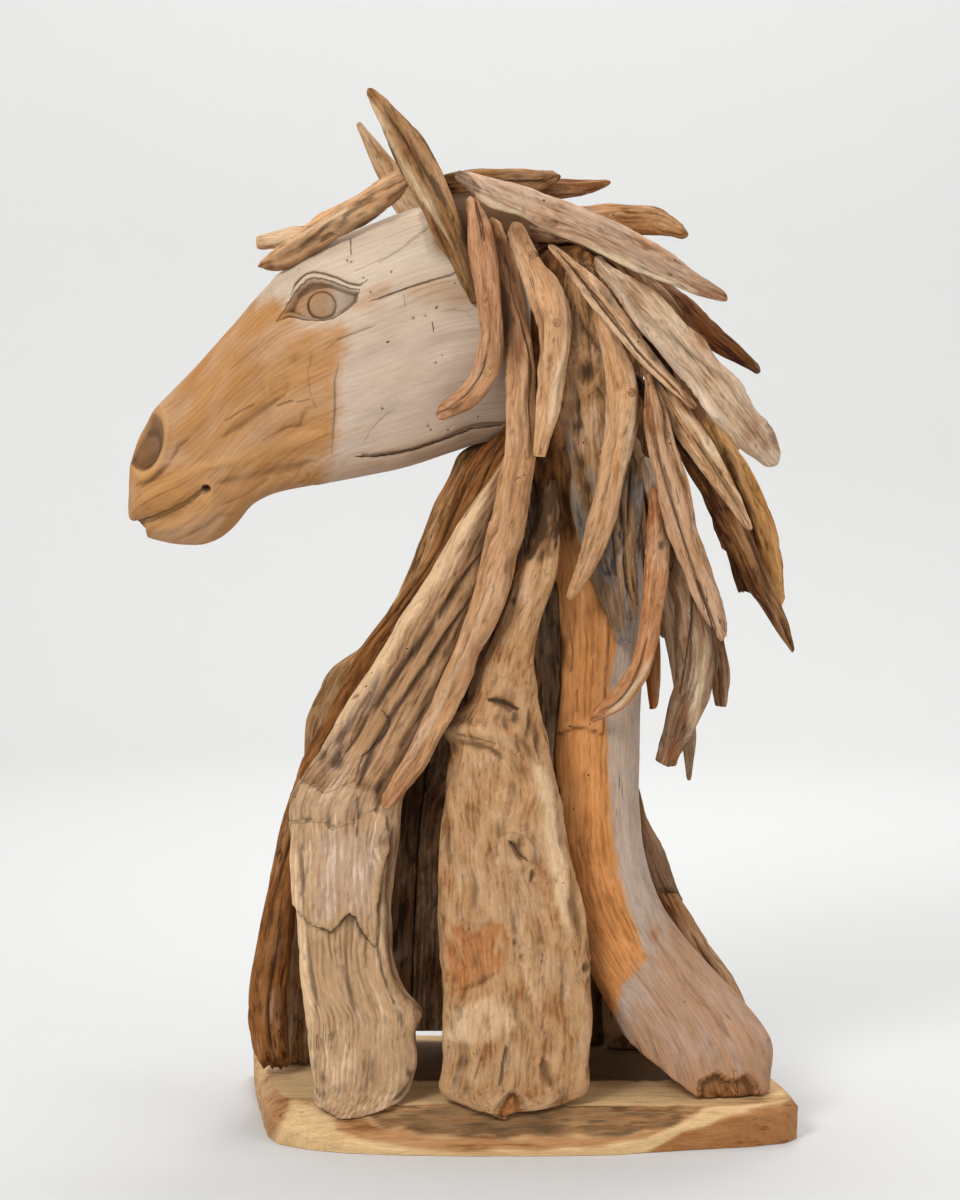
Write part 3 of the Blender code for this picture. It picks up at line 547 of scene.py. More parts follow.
    def skin(self, seed, caps=(4, 4), rough=(0.6, 0.6)):
        """Object with the surface, its wood coordinates and its marks."""
        rings = self.places()
        count = rings.shape[1]
        relief = self.offset - blur(blur(self.offset, 2.6, 1, True), 1.5, 0, False)
        straight = self.straight.copy()
        straight[..., 2] += self.shift
        marks = np.stack((self.dark, self.pale, self.red, np.zeros_like(self.dark)), axis=-1)
        blocks, woods, tints = [rings.reshape(-1, 3)], [straight.reshape(-1, 3)], [marks.reshape(-1, 4)]
        reliefs = [relief.reshape(-1)]
        faces = []
        index = np.arange(rings.shape[0] * count).reshape(rings.shape[0], count)
        after = np.roll(index, -1, axis=1)
        quads = np.stack((index[:-1], after[:-1], after[1:], index[1:]), axis=-1).reshape(-1, 4)
        total = index.size
        for row, layers, depth in zip((0, -1), caps, rough):
            first = row == 0
            edge = rings[row]
            hub = edge.mean(axis=0)
            wood_hub = straight[row].mean(axis=0)
            before = index[row]
            for layer in range(1, layers + 1):
                share = 1.0 - layer / (layers + 1.0)
                ring = hub + (edge - hub) * share
                bumps = noise(ring * 0.22 + seed, seed + 71) * depth
                tint = marks[row] * share
                tint[:, 3] = 1.0
                if self.cover is not None and first:
                    rise, tint = self.cover(ring)
                    bumps = bumps - rise
                ring = ring + self.along[row] * bumps[:, None]
                blocks.append(ring)
                woods.append(wood_hub + (straight[row] - wood_hub) * share)
                tints.append(tint)
                reliefs.append(np.zeros(count))
                now = np.arange(count) + total
                total += count
                pair = (before, np.roll(before, -1), np.roll(now, -1), now)
                if first:
                    pair = (pair[3], pair[2], pair[1], pair[0])
                quads = np.vstack((quads, np.stack(pair, axis=-1)))
                before = now
            blocks.append(hub[None])
            woods.append(wood_hub[None])
            tints.append(np.array(((0.0, 0.0, 0.0, 1.0),)))
            reliefs.append(np.zeros(1))
            for a, b in zip(before, np.roll(before, -1)):
                faces.append((b, a, total) if first else (a, b, total))
            total += 1
        return make_mesh(self.name, np.vstack(blocks), quads.tolist() + faces,
                         np.vstack(woods), np.vstack(tints), np.concatenate(reliefs))


def make_mesh(name, points, faces, wood, marks, relief):
    """Object of one named piece of wood."""
    mesh = bpy.data.meshes.new(name + "_wood")
    mesh.from_pydata((points * MM).tolist(), [], faces)
    mesh.shade_smooth()
    for label, kind, field, values in (
            ("wood", "FLOAT_VECTOR", "vector", wood * MM), ("marks", "FLOAT_COLOR", "color", marks),
            ("relief", "FLOAT", "value", relief)):
        layer = mesh.attributes.new(label, kind, "POINT")
        layer.data.foreach_set(field, np.ascontiguousarray(values, np.float32).ravel())
    piece = bpy.data.objects.new(name + "_wood", mesh)
    bpy.context.scene.collection.objects.link(piece)
    return piece


class Signal:
    """Output of a shader node, which takes part in sums and products like a number."""

    def __init__(self, socket):
        self.socket = socket
        self.tree = socket.id_data

    def __add__(self, other):
        return calc("ADD", self, other)

    def __sub__(self, other):
        return calc("SUBTRACT", self, other)

    def __rsub__(self, other):
        return calc("SUBTRACT", other, self)

    def __mul__(self, other):
        return calc("MULTIPLY", self, other)

    def __truediv__(self, other):
        return calc("DIVIDE", self, other)


def node(tree, kind, links=None, **settings):
    """Outputs of a new node with its settings, and its inputs set or linked."""
    made = tree.nodes.new(kind)
    for key, value in settings.items():
        setattr(made, key, value)
    for socket, value in (links or {}).items():
        if isinstance(value, Signal):
            tree.links.new(value.socket, made.inputs[socket])
        else:
            made.inputs[socket].default_value = value
    return {key: Signal(socket) for number, socket in enumerate(made.outputs)
            for key in (number, socket.name)}


def tree_of(values):
    """Node tree that the signals among some values are in."""
    return next(value.tree for value in values if isinstance(value, Signal))


def calc(operation, *values, clamp=False):
    """Signal from a maths node."""
    links = dict(enumerate(values))
    return node(tree_of(values), "ShaderNodeMath", links, operation=operation, use_clamp=clamp)[0]


def vector(operation, *values, **scale):
    """Signal from a vector maths node: a number for a length or a product, otherwise a vector."""
    links = {**dict(enumerate(values)), **scale}
    made = node(tree_of(links.values()), "ShaderNodeVectorMath", links, operation=operation)
    return made["Value" if operation in ("LENGTH", "DISTANCE", "DOT_PRODUCT") else "Vector"]


def span(value, low, high, start=0.0, finish=1.0):
    """Value eased from one range into another."""
    links = {"Value": value, "From Min": low, "From Max": high, "To Min": start, "To Max": finish}
    return node(value.tree, "ShaderNodeMapRange", links, interpolation_type="SMOOTHSTEP")[0]


def mixed(factor, first, second):
    """Two colours mixed by a factor."""
    return node(factor.tree, "ShaderNodeMix", {0: factor, 6: first, 7: second}, data_type="RGBA")[2]


def parts(kind, value):
    """The three parts of a colour (Color) or a vector (XYZ)."""
    made = node(value.tree, "ShaderNodeSeparate" + kind, {0: value})
    return made[0], made[1], made[2]


def stretched(place, across, along):
    """Wood coordinates in cells of these sizes in millimetres."""
    return vector("MULTIPLY", place, (1000.0 / across, 1000.0 / across, 1000.0 / along))


def cloud(place, detail=2.0, roughness=0.5, scale=1.0, output="Fac"):
    """Noise from 0 to 1, in cells of the given coordinates."""
    links = {"Vector": place, "Scale": scale, "Detail": detail, "Roughness": roughness}
    return node(place.tree, "ShaderNodeTexNoise", links)[output]


def new_group(name, inputs, outputs, build):
    """Node group with named sockets; an input's value is a number, or the kind of its socket."""
    tree = bpy.data.node_groups.new(name, "ShaderNodeTree")
    for label, value in inputs.items():
        kind = value if isinstance(value, str) else "Float"
        socket = tree.interface.new_socket(label, in_out="INPUT", socket_type="NodeSocket" + kind)
        if kind == "Float":
            socket.default_value = value
    for label, kind in outputs.items():
        tree.interface.new_socket(label, in_out="OUTPUT", socket_type="NodeSocket" + kind)
    node(tree, "NodeGroupOutput", build(node(tree, "NodeGroupInput")))
    return tree


def wood_grain(given):
    """Streaks, growth rings, fibres and fine checks that run along the wood."""
    place = given["Wood"]
    wave = vector("SUBTRACT", cloud(stretched(place, 30.0, 75.0), output="Color"), (0.5, 0.5, 0.5))
    wave = vector("MULTIPLY", wave, (0.012, 0.012, 0.0))
    wood = vector("ADD", place, vector("SCALE", wave, Scale=given["Waviness"]))
    broad = cloud(stretched(wood, 11.0, 80.0), 4.0, 0.64)
    narrow = cloud(stretched(wood, 2.6, 32.0), 3.0, 0.66)
    fibre = cloud(stretched(wood, 0.9, 11.0), 2.0, 0.6)
    patches = cloud(stretched(place, 30.0, 62.0), 4.0, 0.62)
    pith = vector("MULTIPLY", vector("ADD", wood, (0.011, 0.019, 0.0)), (1.0, 1.0, 0.06))
    turns = vector("LENGTH", pith) * (6283.0) / given["Ring Width"]
    rings = calc("SINE", turns + broad * 9.0)
    seams = calc("ABSOLUTE", cloud(stretched(wood, 5.5, 110.0)) - 0.5)
    where = cloud(stretched(place, 17.0, 55.0), 3.0) - (0.80 - given["Check Amount"] * 0.36)
    checks = span(seams, 0.002, 0.016, 1.0, 0.0) * span(where, 0.0, 0.08)
    height = fibre * 0.5 + narrow * 1.1 + broad * 1.2 + rings * 0.02 - checks * 1.1
    return {"Streaks": broad * 0.60 + narrow * 0.40, "Fibres": fibre, "Rings": rings,
            "Checks": checks, "Patches": patches, "Height": height}


def worm_holes(given):
    """Small round pits scattered over the wood."""
    size = calc("DIVIDE", 1000.0, given["Spacing"])
    cells = node(size.tree, "ShaderNodeTexVoronoi",
                 {"Vector": given["Wood"], "Scale": size, "Randomness": 1.0})
    chosen = calc("LESS_THAN", parts("Color", cells["Color"])[0], given["Amount"])
    return {"Holes": span(cells["Distance"], 0.035, 0.075, 1.0, 0.0) * chosen}


def drawn_line(given):
    """Straight stroke, ring or dot in a piece's x, z millimetres, soft at its edges.

    The point goes out with a trace of the mask in it, so that a chain of strokes is worked out one
    by one and never needs all of them at once.
    """
    run = given["Run"]
    away = vector("SUBTRACT", given["Point"], given["Start"])
    share = calc("DIVIDE", vector("DOT_PRODUCT", away, run), vector("DOT_PRODUCT", run, run),
                 clamp=True)
    gap = vector("DISTANCE", away, vector("SCALE", run, Scale=share))
    mask = span(gap / given["Width"], 0.2, 0.75, 1.0, 0.0) * given["Depth"]
    mask = calc("MAXIMUM", mask, given["Before"])
    trace = vector("SCALE", (0.00001, 0.0, 0.00001), Scale=mask)
    return {"Mask": mask, "Point": vector("ADD", given["Point"], trace)}


def weathered_tone(given):
    """Colour and roughness of weathered wood, from its grain, its marks and painted shade."""
    dark, pale, red = parts("Color", given["Marks"])
    level = given["Streaks"] * 0.62 + given["Patches"] * 0.38
    level = (level - 0.5) * given["Contrast"] + 0.5 + given["Rings"] * given["Ring Amount"]
    grained = mixed(span(level, 0.505, 0.585), given["Middle"], given["Light"])
    grained = mixed(span(level, 0.495, 0.415), grained, given["Dark"])
    bleached = span(given["Patches"], 0.42, 0.66) * given["Weathering"]
    stained = span(given["Patches"], 0.47, 0.33) * given["Warmth"]
    colour = mixed(stained, mixed(bleached, given["Middle"], given["Grey"]), given["Red"])
    broken = (given["Streaks"] - 0.5) * 1.2

    def ragged(mark, reach):
        return mark + broken * (mark * (reach - mark))

    for mark, label in ((pale, "Pale"), (red, "Red")):
        colour = mixed(calc("MINIMUM", ragged(mark, 1.3), 1.0, clamp=True), colour, given[label])
    share = mixed(calc("MULTIPLY", pale, 0.6, clamp=True),
                  vector("DIVIDE", grained, given["Middle"]), (1.0, 1.0, 1.0, 1.0))
    fibre = span(given["Fibres"], 0.3, 0.7, -0.16, 0.13) * given["Contrast"] + 1.0
    colour = vector("SCALE", vector("MULTIPLY", colour, share), Scale=fibre)
    # Raised relief is mixed towards the light tone, least on pale marks: a painted highlight on the
    # ridges, which stands also for their wear
    bare = 1.0 - calc("MULTIPLY", pale, 0.85, clamp=True)
    colour = mixed(span(given["Relief"], 0.05, 0.7, 0.0, 0.55) * bare, colour, given["Light"])
    # Colour of the deepest painted shade and grime
    shade_and_soot = vector("SCALE", given["Dark"], Scale=SHADE_AND_SOOT)
    gaps = calc("MAXIMUM", given["Checks"] * 0.8, given["Holes"])
    # Darkened in turn: the relief's hollows (painted shade), the dark marks (painted shade, and also
    # stains, knots and cracks), then the checks, holes and drawn lines
    for grime in (span(given["Relief"], -0.1, -1.3, 0.0, 0.6),
                  calc("MULTIPLY", ragged(dark, 1.4), 0.9, clamp=True),
                  calc("MAXIMUM", gaps, given["Lines"])):
        colour = mixed(grime, colour, shade_and_soot)
    colour = mixed(given["End"] * 0.35, colour, given["Dark"])
    return {"Color": colour, "Roughness": span(given["Streaks"], 0.3, 0.7, 0.82, 0.68)}


GRAIN = new_group(
    "Wood grain", {"Wood": "Vector", "Waviness": 1.0, "Check Amount": 0.5, "Ring Width": 5.0},
    dict.fromkeys(("Streaks", "Fibres", "Rings", "Checks", "Patches", "Height"), "Float"), wood_grain)
HOLES = new_group("Worm holes", {"Wood": "Vector", "Amount": 0.3, "Spacing": 17.0},
                  {"Holes": "Float"}, worm_holes)
LINE = new_group(
    "Drawn line", {"Point": "Vector", "Start": "Vector", "Run": "Vector", "Width": 1.0, "Depth": 1.0,
                   "Before": 0.0}, {"Mask": "Float", "Point": "Vector"}, drawn_line)
TONE = new_group(
    "Weathered tone",
    {**dict.fromkeys(("Light", "Middle", "Dark", "Pale", "Red", "Grey", "Marks"), "Color"),
     "End": 0.0, "Relief": 0.0, "Streaks": 0.5, "Fibres": 0.5, "Rings": 0.0, "Checks": 0.0,
     "Patches": 0.5, "Holes": 0.0, "Lines": 0.0, "Warmth": 0.3, "Ring Amount": 0.1,
     "Weathering": 0.3, "Contrast": 1.0},
    {"Color": "Color", "Roughness": "Float"}, weathered_tone)


def shown(colour):
    """Surface colour that shows as a written tone, 0 to 255, under this scene's light."""
    result = []
    for value in colour:
        value = value / 255.0
        value = value / 12.92 if value <= 0.04045 else ((value + 0.055) / 1.055) ** 2.4
        result.append(min(max(value - SHEEN, 0.004) / BRIGHTNESS, 0.95))
    return (*result, 1.0)


def drawn_mask(tree, lines):
    """Mask of a piece's thin drawn lines: rows of points, width, depth, and 0 for both sides."""
    place = node(tree, "ShaderNodeTexCoord")
    flat = vector("MULTIPLY", place["Object"], (1000.0, 0.0, 1000.0))
    shake = vector("SUBTRACT", cloud(flat, 3.0, scale=0.16, output="Color"), (0.5, 0.5, 0.5))
    point = vector("ADD", flat, vector("MULTIPLY", shake, (3.0, 0.0, 3.0)))
    near = span(parts("XYZ", place["Normal"])[1], 0.15, -0.1)
    masks = {0: 0.0, 1: 0.0}
    for points, width, depth, side in lines:
        if len(points) == 1:
            points = (points[0], (points[0][0] + 0.1, points[0][1]))
        count = len(points) - 1
        for i, ((x0, z0), (x1, z1)) in enumerate(zip(points, points[1:])):
            thin = 0.65 if count > 2 and i in (0, count - 1) else 1.0
            made = node(tree, "ShaderNodeGroup", {
                "Point": point, "Start": (x0, 0.0, z0), "Run": (x1 - x0, 0.0, z1 - z0),
                "Width": width * thin, "Depth": depth, "Before": masks[side]}, node_tree=LINE)
            masks[side], point = made["Mask"], made["Point"]
    return calc("MAXIMUM", masks[0], calc("MULTIPLY", masks[1], near))


def wood_finish(name, light, middle, dark, grey=(150, 136, 124), red=(166, 100, 62),
                pale=(216, 190, 156), weathering=0.15, contrast=1.0, checks=0.5, holes=0.25,
                rings=0.025, ring_width=5.0, waviness=1.0, bump=1.0, curl=1.0, warmth=0.3, seed=0,
                lines=()):
    """Material of one piece of weathered wood; `curl` shortens its grain."""
    material = bpy.data.materials.new(name)
    material.use_nodes = True
    tree = material.node_tree
    shader = tree.nodes["Principled BSDF"]
    wood = node(tree, "ShaderNodeAttribute", attribute_name="wood")["Vector"]
    wood = vector("MULTIPLY_ADD", wood, (1.0, 1.0, curl), (0.137 * seed, 0.071 * seed, 0.293 * seed))
    marks = node(tree, "ShaderNodeAttribute", attribute_name="marks")
    relief = node(tree, "ShaderNodeAttribute", attribute_name="relief")["Fac"]
    grain = node(tree, "ShaderNodeGroup", {
        "Wood": wood, "Waviness": waviness, "Check Amount": checks, "Ring Width": ring_width},
        node_tree=GRAIN)
    bores = node(tree, "ShaderNodeGroup", {"Wood": wood, "Amount": holes}, node_tree=HOLES)["Holes"]
    links = {label: grain[label] for label in ("Streaks", "Fibres", "Rings", "Checks", "Patches")}
    links.update({
        "Light": shown(light), "Middle": shown(middle), "Dark": shown(dark), "Grey": shown(grey),
        "Red": shown(red), "Pale": shown(pale), "Ring Amount": rings, "Weathering": weathering,
        "Contrast": contrast, "Warmth": warmth, "Holes": bores, "Marks": marks["Color"],
        "End": marks["Alpha"], "Relief": relief})
    if lines:
        links["Lines"] = drawn_mask(tree, lines)
    tone = node(tree, "ShaderNodeGroup", links, node_tree=TONE)
    uneven = node(tree, "ShaderNodeBump", {
        "Height": grain["Height"] - bores, "Strength": bump, "Distance": MM})
    for label, value in (("Base Color", tone["Color"]), ("Roughness", tone["Roughness"]),
                         ("Normal", uneven["Normal"])):
        tree.links.new(value.socket, shader.inputs[label])
    shader.inputs["Specular IOR Level"].default_value = GLOSS
    return material


SHAPE = {"spacing": (1.8, 3.8), "soften": (1.8, 10.0), "lumps": 0.8, "grooves": 0.5, "cracks": 1,
         "flats": 0.34, "ends": ("worn", "worn"), "level": None, "within": 48.0, "outward": NEAR,
         "fine": 0.35, "flakes": 0.8}


def wood(light, middle, dark, **changes):
    """How one piece is shaped, and how its material is finished."""
    shape = {key: changes.pop(key, value) for key, value in SHAPE.items()}
    return shape, {"light": light, "middle": middle, "dark": dark, **changes}


LEVEL = {"level": ENDLESS, "within": 140.0}
BACK = {"spacing": (3.0, 6.0), "outward": FAR, "cracks": 2}
BACK_PLANK = {"grooves": 1.2, "cracks": 5, "spacing": (3.4, 5.5), "outward": FAR,
              "ends": ("torn", "cut"), "flats": 0.0, **LEVEL}
# Light, middle and dark tone, then what differs from SHAPE and from wood_finish
WOODS = {
    "left_root": wood((192, 150, 108), (152, 112, 76), (100, 68, 42), spacing=(1.9, 3.0), lumps=1.2,
                      grooves=0.25, soften=(2.6, 7.0), ends=("torn", "torn"), cracks=0,
                      pale=(216, 180, 140), red=(188, 158, 138), contrast=0.65, curl=1.2,
                      waviness=0.9, flakes=0.5, bump=0.8, **LEVEL),
    "middle_root": wood((202, 162, 120), (184, 141, 98), (150, 106, 66), spacing=(1.9, 3.0),
                        lumps=1.6, grooves=0.15, soften=(2.6, 7.0), ends=("torn", "torn"), cracks=0,
                        pale=(222, 186, 146), red=(178, 112, 62), contrast=0.75, curl=1.7,
                        waviness=1.4, flakes=0.5, bump=0.8, **LEVEL),
    "trunk": wood((224, 160, 102), (208, 141, 82), (174, 112, 60), spacing=(2.1, 3.0), lumps=0.8,
                  grooves=0.25, soften=(7.0, 16.0), ends=("cut", "cut"), cracks=0,
                  pale=(182, 162, 146), red=(158, 112, 74), waviness=0.8, contrast=0.7, flats=0.04,
                  weathering=0.04, flakes=0.3, **LEVEL),
    "left_back_plank": wood((168, 114, 62), (142, 90, 46), (100, 62, 28), spacing=(2.0, 4.0),
                            grooves=1.4, ends=("torn", "torn"), cracks=7, checks=0.8, **LEVEL),
    "throat_plank": wood((200, 160, 112), (168, 122, 76), (112, 78, 46), spacing=(2.4, 4.2),
                         grooves=1.2, ends=("torn", "torn"), cracks=5, checks=0.8, **LEVEL),
    "inner_plank": wood((124, 98, 72), (94, 72, 52), (56, 42, 30), spacing=(3.0, 5.0), grooves=1.2,
                        ends=("torn", "cut"), flats=0.0, cracks=4, **LEVEL),
    "far_plank_front": wood((128, 96, 66), (98, 70, 46), (62, 44, 30), **BACK_PLANK),
    "far_plank_middle": wood((140, 104, 72), (104, 76, 50), (66, 46, 30), **BACK_PLANK),
    "far_plank_rear": wood((168, 128, 90), (140, 104, 70), (98, 70, 46), **BACK_PLANK),
    "far_plank_foot": wood((164, 126, 88), (138, 102, 68), (96, 68, 44), **BACK_PLANK),
    "knotty_plank": wood((192, 148, 104), (158, 116, 76), (104, 76, 48), grooves=1.5, lumps=1.0,
                         weathering=0.3, pale=(122, 116, 110), red=(176, 128, 78),
                         ends=("torn", "cut"), cracks=5, within=60.0),
    "mane_outer_pointed": wood((160, 114, 72), (124, 82, 44), (76, 46, 20), weathering=0.0,
                               pale=(186, 146, 104), ends=("torn", "torn")),
    "mane_split_inner": wood((232, 194, 154), (196, 150, 108), (116, 76, 40), cracks=2),
    "mane_blunt_grey": wood((172, 138, 104), (140, 106, 78), (106, 78, 54), grooves=1.1,
                            ends=("worn", "cut"), cracks=3, weathering=0.35),
    "mane_red_hook": wood((214, 156, 106), (188, 128, 84), (148, 96, 58), ends=("worn", "torn"),
                          flats=0.05),
    "mane_grey_straight": wood((208, 168, 134), (188, 142, 104), (144, 102, 66), checks=0.7,
                               ends=("worn", "torn"), cracks=2),
    "mane_curved_light": wood((218, 176, 136), (206, 158, 114), (180, 130, 84), lumps=0.8),
    "mane_neck_long": wood((206, 160, 118), (190, 142, 100), (166, 122, 84), spacing=(1.7, 3.6)),
    "mane_short_cut": wood((218, 175, 134), (205, 158, 115), (186, 140, 96), ends=("worn", "cut")),
    "mane_thin_split": wood((228, 192, 154), (206, 160, 118), (144, 104, 72), cracks=2),
    "mane_broad_pale": wood((222, 193, 163), (203, 170, 138), (160, 124, 92), grooves=0.3,
                            pale=(222, 194, 166), spacing=(1.7, 3.6), holes=0.35),
    "ear_near": wood((166, 120, 72), (142, 102, 62), (98, 68, 38), grooves=0.7, spacing=(1.6, 3.2)),
    "mane_cheek_hook": wood((206, 157, 118), (188, 138, 99), (154, 108, 72), holes=0.4),
    "mane_crest_long": wood((208, 172, 142), (190, 152, 122), (150, 112, 84), weathering=0.35,
                            ends=("cut", "worn"), holes=0.45, spacing=(1.7, 3.6)),
    "forelock_near": wood((222, 174, 126), (202, 152, 106), (138, 98, 64), ends=("worn", "torn")),
    "forelock_far": wood((216, 178, 138), (205, 162, 119), (172, 130, 90), ends=("worn", "cut")),
    "crest_stick_front": wood((170, 124, 80), (142, 100, 60), (102, 66, 36), ends=("worn", "torn")),
    "crest_stick_rear": wood((204, 156, 112), (176, 126, 80), (128, 84, 46), ends=("worn", "cut")),
    "crest_stick_middle": wood((188, 144, 106), (156, 110, 73), (118, 78, 44)),
    "crest_stick_inner": wood((150, 112, 80), (120, 86, 58), (80, 54, 34), grooves=1.0),
    "mane_dark_upper": wood((140, 92, 44), (108, 66, 26), (62, 34, 10), grooves=0.9),
    "mane_orange_curve": wood((222, 164, 96), (200, 143, 82), (140, 94, 44), lumps=0.9,
                              grooves=0.9),
    "mane_dark_inner": wood((130, 92, 58), (104, 70, 42), (64, 42, 22), grooves=0.9,
                            ends=("worn", "torn")),
    "mane_back_upper": wood((160, 120, 86), (130, 94, 62), (88, 60, 38), spacing=(2.6, 5.0)),
    "mane_back_middle": wood((180, 140, 102), (152, 112, 76), (108, 76, 48), spacing=(2.6, 5.0)),
    "mane_tip_dark": wood((176, 136, 100), (142, 104, 72), (98, 62, 30), ends=("worn", "cut")),
    "mane_tip_small": wood((160, 128, 96), (144, 116, 88), (112, 86, 62)),
    "mane_tip_brown": wood((212, 154, 100), (182, 124, 74), (140, 88, 46), ends=("worn", "torn")),
    "rear_plank_upper": wood((152, 114, 78), (124, 88, 56), (82, 56, 34), grooves=1.2, cracks=3),
    "rear_plank_lower": wood((182, 140, 100), (158, 118, 80), (114, 80, 50), grooves=0.8,
                             ends=("torn", "torn"), cracks=3),
    "ear_far": wood((214, 182, 148), (196, 160, 122), (156, 118, 80), outward=FAR,
                    ends=("cut", "cut"), flats=0.1),
    "mane_far_cheek": wood((204, 160, 120), (182, 138, 100), (146, 104, 70), **BACK),
    "mane_far_neck": wood((198, 152, 112), (176, 130, 90), (142, 100, 66), **BACK),
    "mane_far_flank": wood((172, 138, 104), (140, 108, 78), (98, 74, 54), **BACK),
    "mane_far_hook": wood((184, 138, 102), (160, 112, 80), (128, 86, 56), **BACK),
    "mane_far_blunt": wood((168, 134, 102), (136, 104, 76), (102, 76, 52), **BACK),
    "mane_far_short": wood((206, 166, 126), (188, 146, 106), (152, 112, 76), **BACK),
    "mane_far_curved": wood((216, 184, 148), (196, 160, 124), (156, 118, 84), **BACK),
    "mane_far_broad": wood((220, 190, 156), (200, 166, 130), (156, 120, 88), **BACK),
    "mane_far_inner": wood((166, 128, 92), (138, 102, 68), (96, 66, 42), **BACK),
    "mane_far_outer": wood((196, 150, 104), (170, 124, 80), (122, 84, 50), **BACK),
    "mane_far_thin": wood((204, 166, 128), (178, 136, 98), (134, 96, 66), **BACK),
    "mane_far_crest": wood((196, 166, 140), (178, 146, 120), (144, 110, 84), **BACK),
}
SLOTS = {part["node"]: part["material_slot"] for part in frame["record"]["subparts"]}


def place_wood(log, finish, seed, caps=(3, 3), rough=(0.5, 0.5)):
    """Put a finished piece in its CAD node's place."""
    piece = log.skin(seed, caps, rough)
    piece.data.materials.append(wood_finish(log.name, seed=seed, **finish))
    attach(piece, "root")
    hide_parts(log.name)
    return piece


def whole_wood(names):
    """All CAD solids in one search tree, in millimetres."""
    points = []
    faces = []
    for name in names:
        item = bpy.data.objects[name]
        start = len(points)
        points += [item.matrix_world @ vertex.co / MM for vertex in item.data.vertices]
        faces += [[start + i for i in face.vertices] for face in item.data.polygons]
    return BVHTree.FromPolygons(points, faces)


def grown_wood(name, seed):
    """A stick, plank, root or log, from its row in WOODS."""
    shape, finish = WOODS[name]
    solid = Solid(name)
    line, normals = centre_line(solid, shape["within"], shape["level"])
    log = Log(name, line, normals, shape["outward"], shape["spacing"], shape["soften"])
    log.plane_off(seed, shape["flats"] * (LEVEL_FLATS if shape["level"] else 1.0))
    log.weather(seed, shape["lumps"], shape["grooves"], shape["fine"], shape["flakes"])
    if shape["cracks"]:
        log.crack(seed, shape["cracks"])
    for at_start, kind in zip((True, False), shape["ends"]):
        log.end(at_start, kind, seed + at_start)
    # Painted shade: darker where neighbouring wood covers the piece, broken by a little noise
    occluded = log.shelter(NEIGHBOURS) + 0.12 * log.grained(14.0, 30.0, seed, 2)
    log.dark += 0.92 * ease(occluded, 0.26, 0.72)
    rows = [read_row(*row) for row in MARKS.get(name, ())]
    work(log, rows)
    lines = [(points, width, dark, 1) for kind, points, width, _, dark, _, _ in rows
             if kind in ("cut", "draw")]
    return place_wood(log, {**finish, "lines": lines}, seed)


def read_row(kind, flat, width, rise=0.0, dark=0.0, pale=None, red=None):
    """Row of MARKS with its points in pairs and with the values that it leaves out."""
    return kind, tuple(zip(flat[::2], flat[1::2])), width, rise, dark, pale, red


def work(log, rows):
    """Lines, spots, areas, raised layers and knots of one piece, in its x, z millimetres.

    Each row is the kind, its points, its width, its rise, then its dark, pale and red marks. A bevel
    takes off the wood below a slanting line, and drawn lines are left to the material.
    """
    for kind, points, width, rise, dark, pale, red in rows:
        rough = log.grained(7.0, 22.0, len(points) + 40, 3)
        if kind == "line":
            mask = log.stroke(points, width, 1, 0.2) * ease(rough, -1.3, -0.2)
        elif kind == "draw":
            continue
        elif kind == "bevel":
            (x0, z0), (x1, z1) = points
            low = z0 + (z1 - z0) * (log.plain[..., 0] - x0) / (x1 - x0) + 1.5 * rough
            log.shift += np.maximum(low - log.plain[..., 2], 0.0) / log.along[:, None, 2]
            continue
        elif kind == "cut":
            mask = log.stroke(points, max(width, 1.6), 1, 0.1)
            dark *= 0.35
        elif kind == "spot":
            mask = np.max([log.spot(x, z, width, width * 1.5) for x, z in points], axis=0)
        elif kind == "knot":
            mask = 0.0
            for x, z in points:
                away = np.hypot(log.plain[..., 0] - x, (log.plain[..., 2] - z) / 1.35) / width
                seen = ease(log.facing, -0.2, 0.2)
                rim = np.exp(-((away - 1.0) / 0.28) ** 2) * seen
                eye = np.exp(-(away / 0.55) ** 2) * seen
                bend = np.exp(-(away / 1.9) ** 2) * seen
                side = np.sign(log.straight[..., :2])
                log.straight[..., :2] += (0.9 * width * bend)[..., None] * side
                log.offset += rise * rim - rise * eye
                ripple = ease(np.sin(away * 7.0), 0.2, 1.0) * np.exp(-(away / 1.3) ** 2) * seen
                log.shade(dark * eye, 0.4 * dark * ripple)
                mask = np.maximum(mask, bend)
            rise = dark = 0.0
        elif kind == "layer":
            depth = log.inside(points) + 0.8 * log.grained(6.0, 9.0, 44, 2)
            mask = ease(depth, -0.8, 0.8)
            # Painted shadow in a band just outside the layer's outline, along the foot of its edge
            log.shade(dark * np.exp(-((depth + 1.7) / 1.3) ** 2))
            dark = 0.0
        else:
            mask = ease(log.inside(points) + width * rough, -width, width)
        log.offset += rise * mask
        log.shade(dark * mask * np.clip(0.75 + 0.5 * rough, 0.2, 1.0))
        for name, mark in (("pale", pale), ("red", red)):
            if mark is not None:
                before = getattr(log, name)
                setattr(log, name, before * (1.0 - mask) + mark * mask)


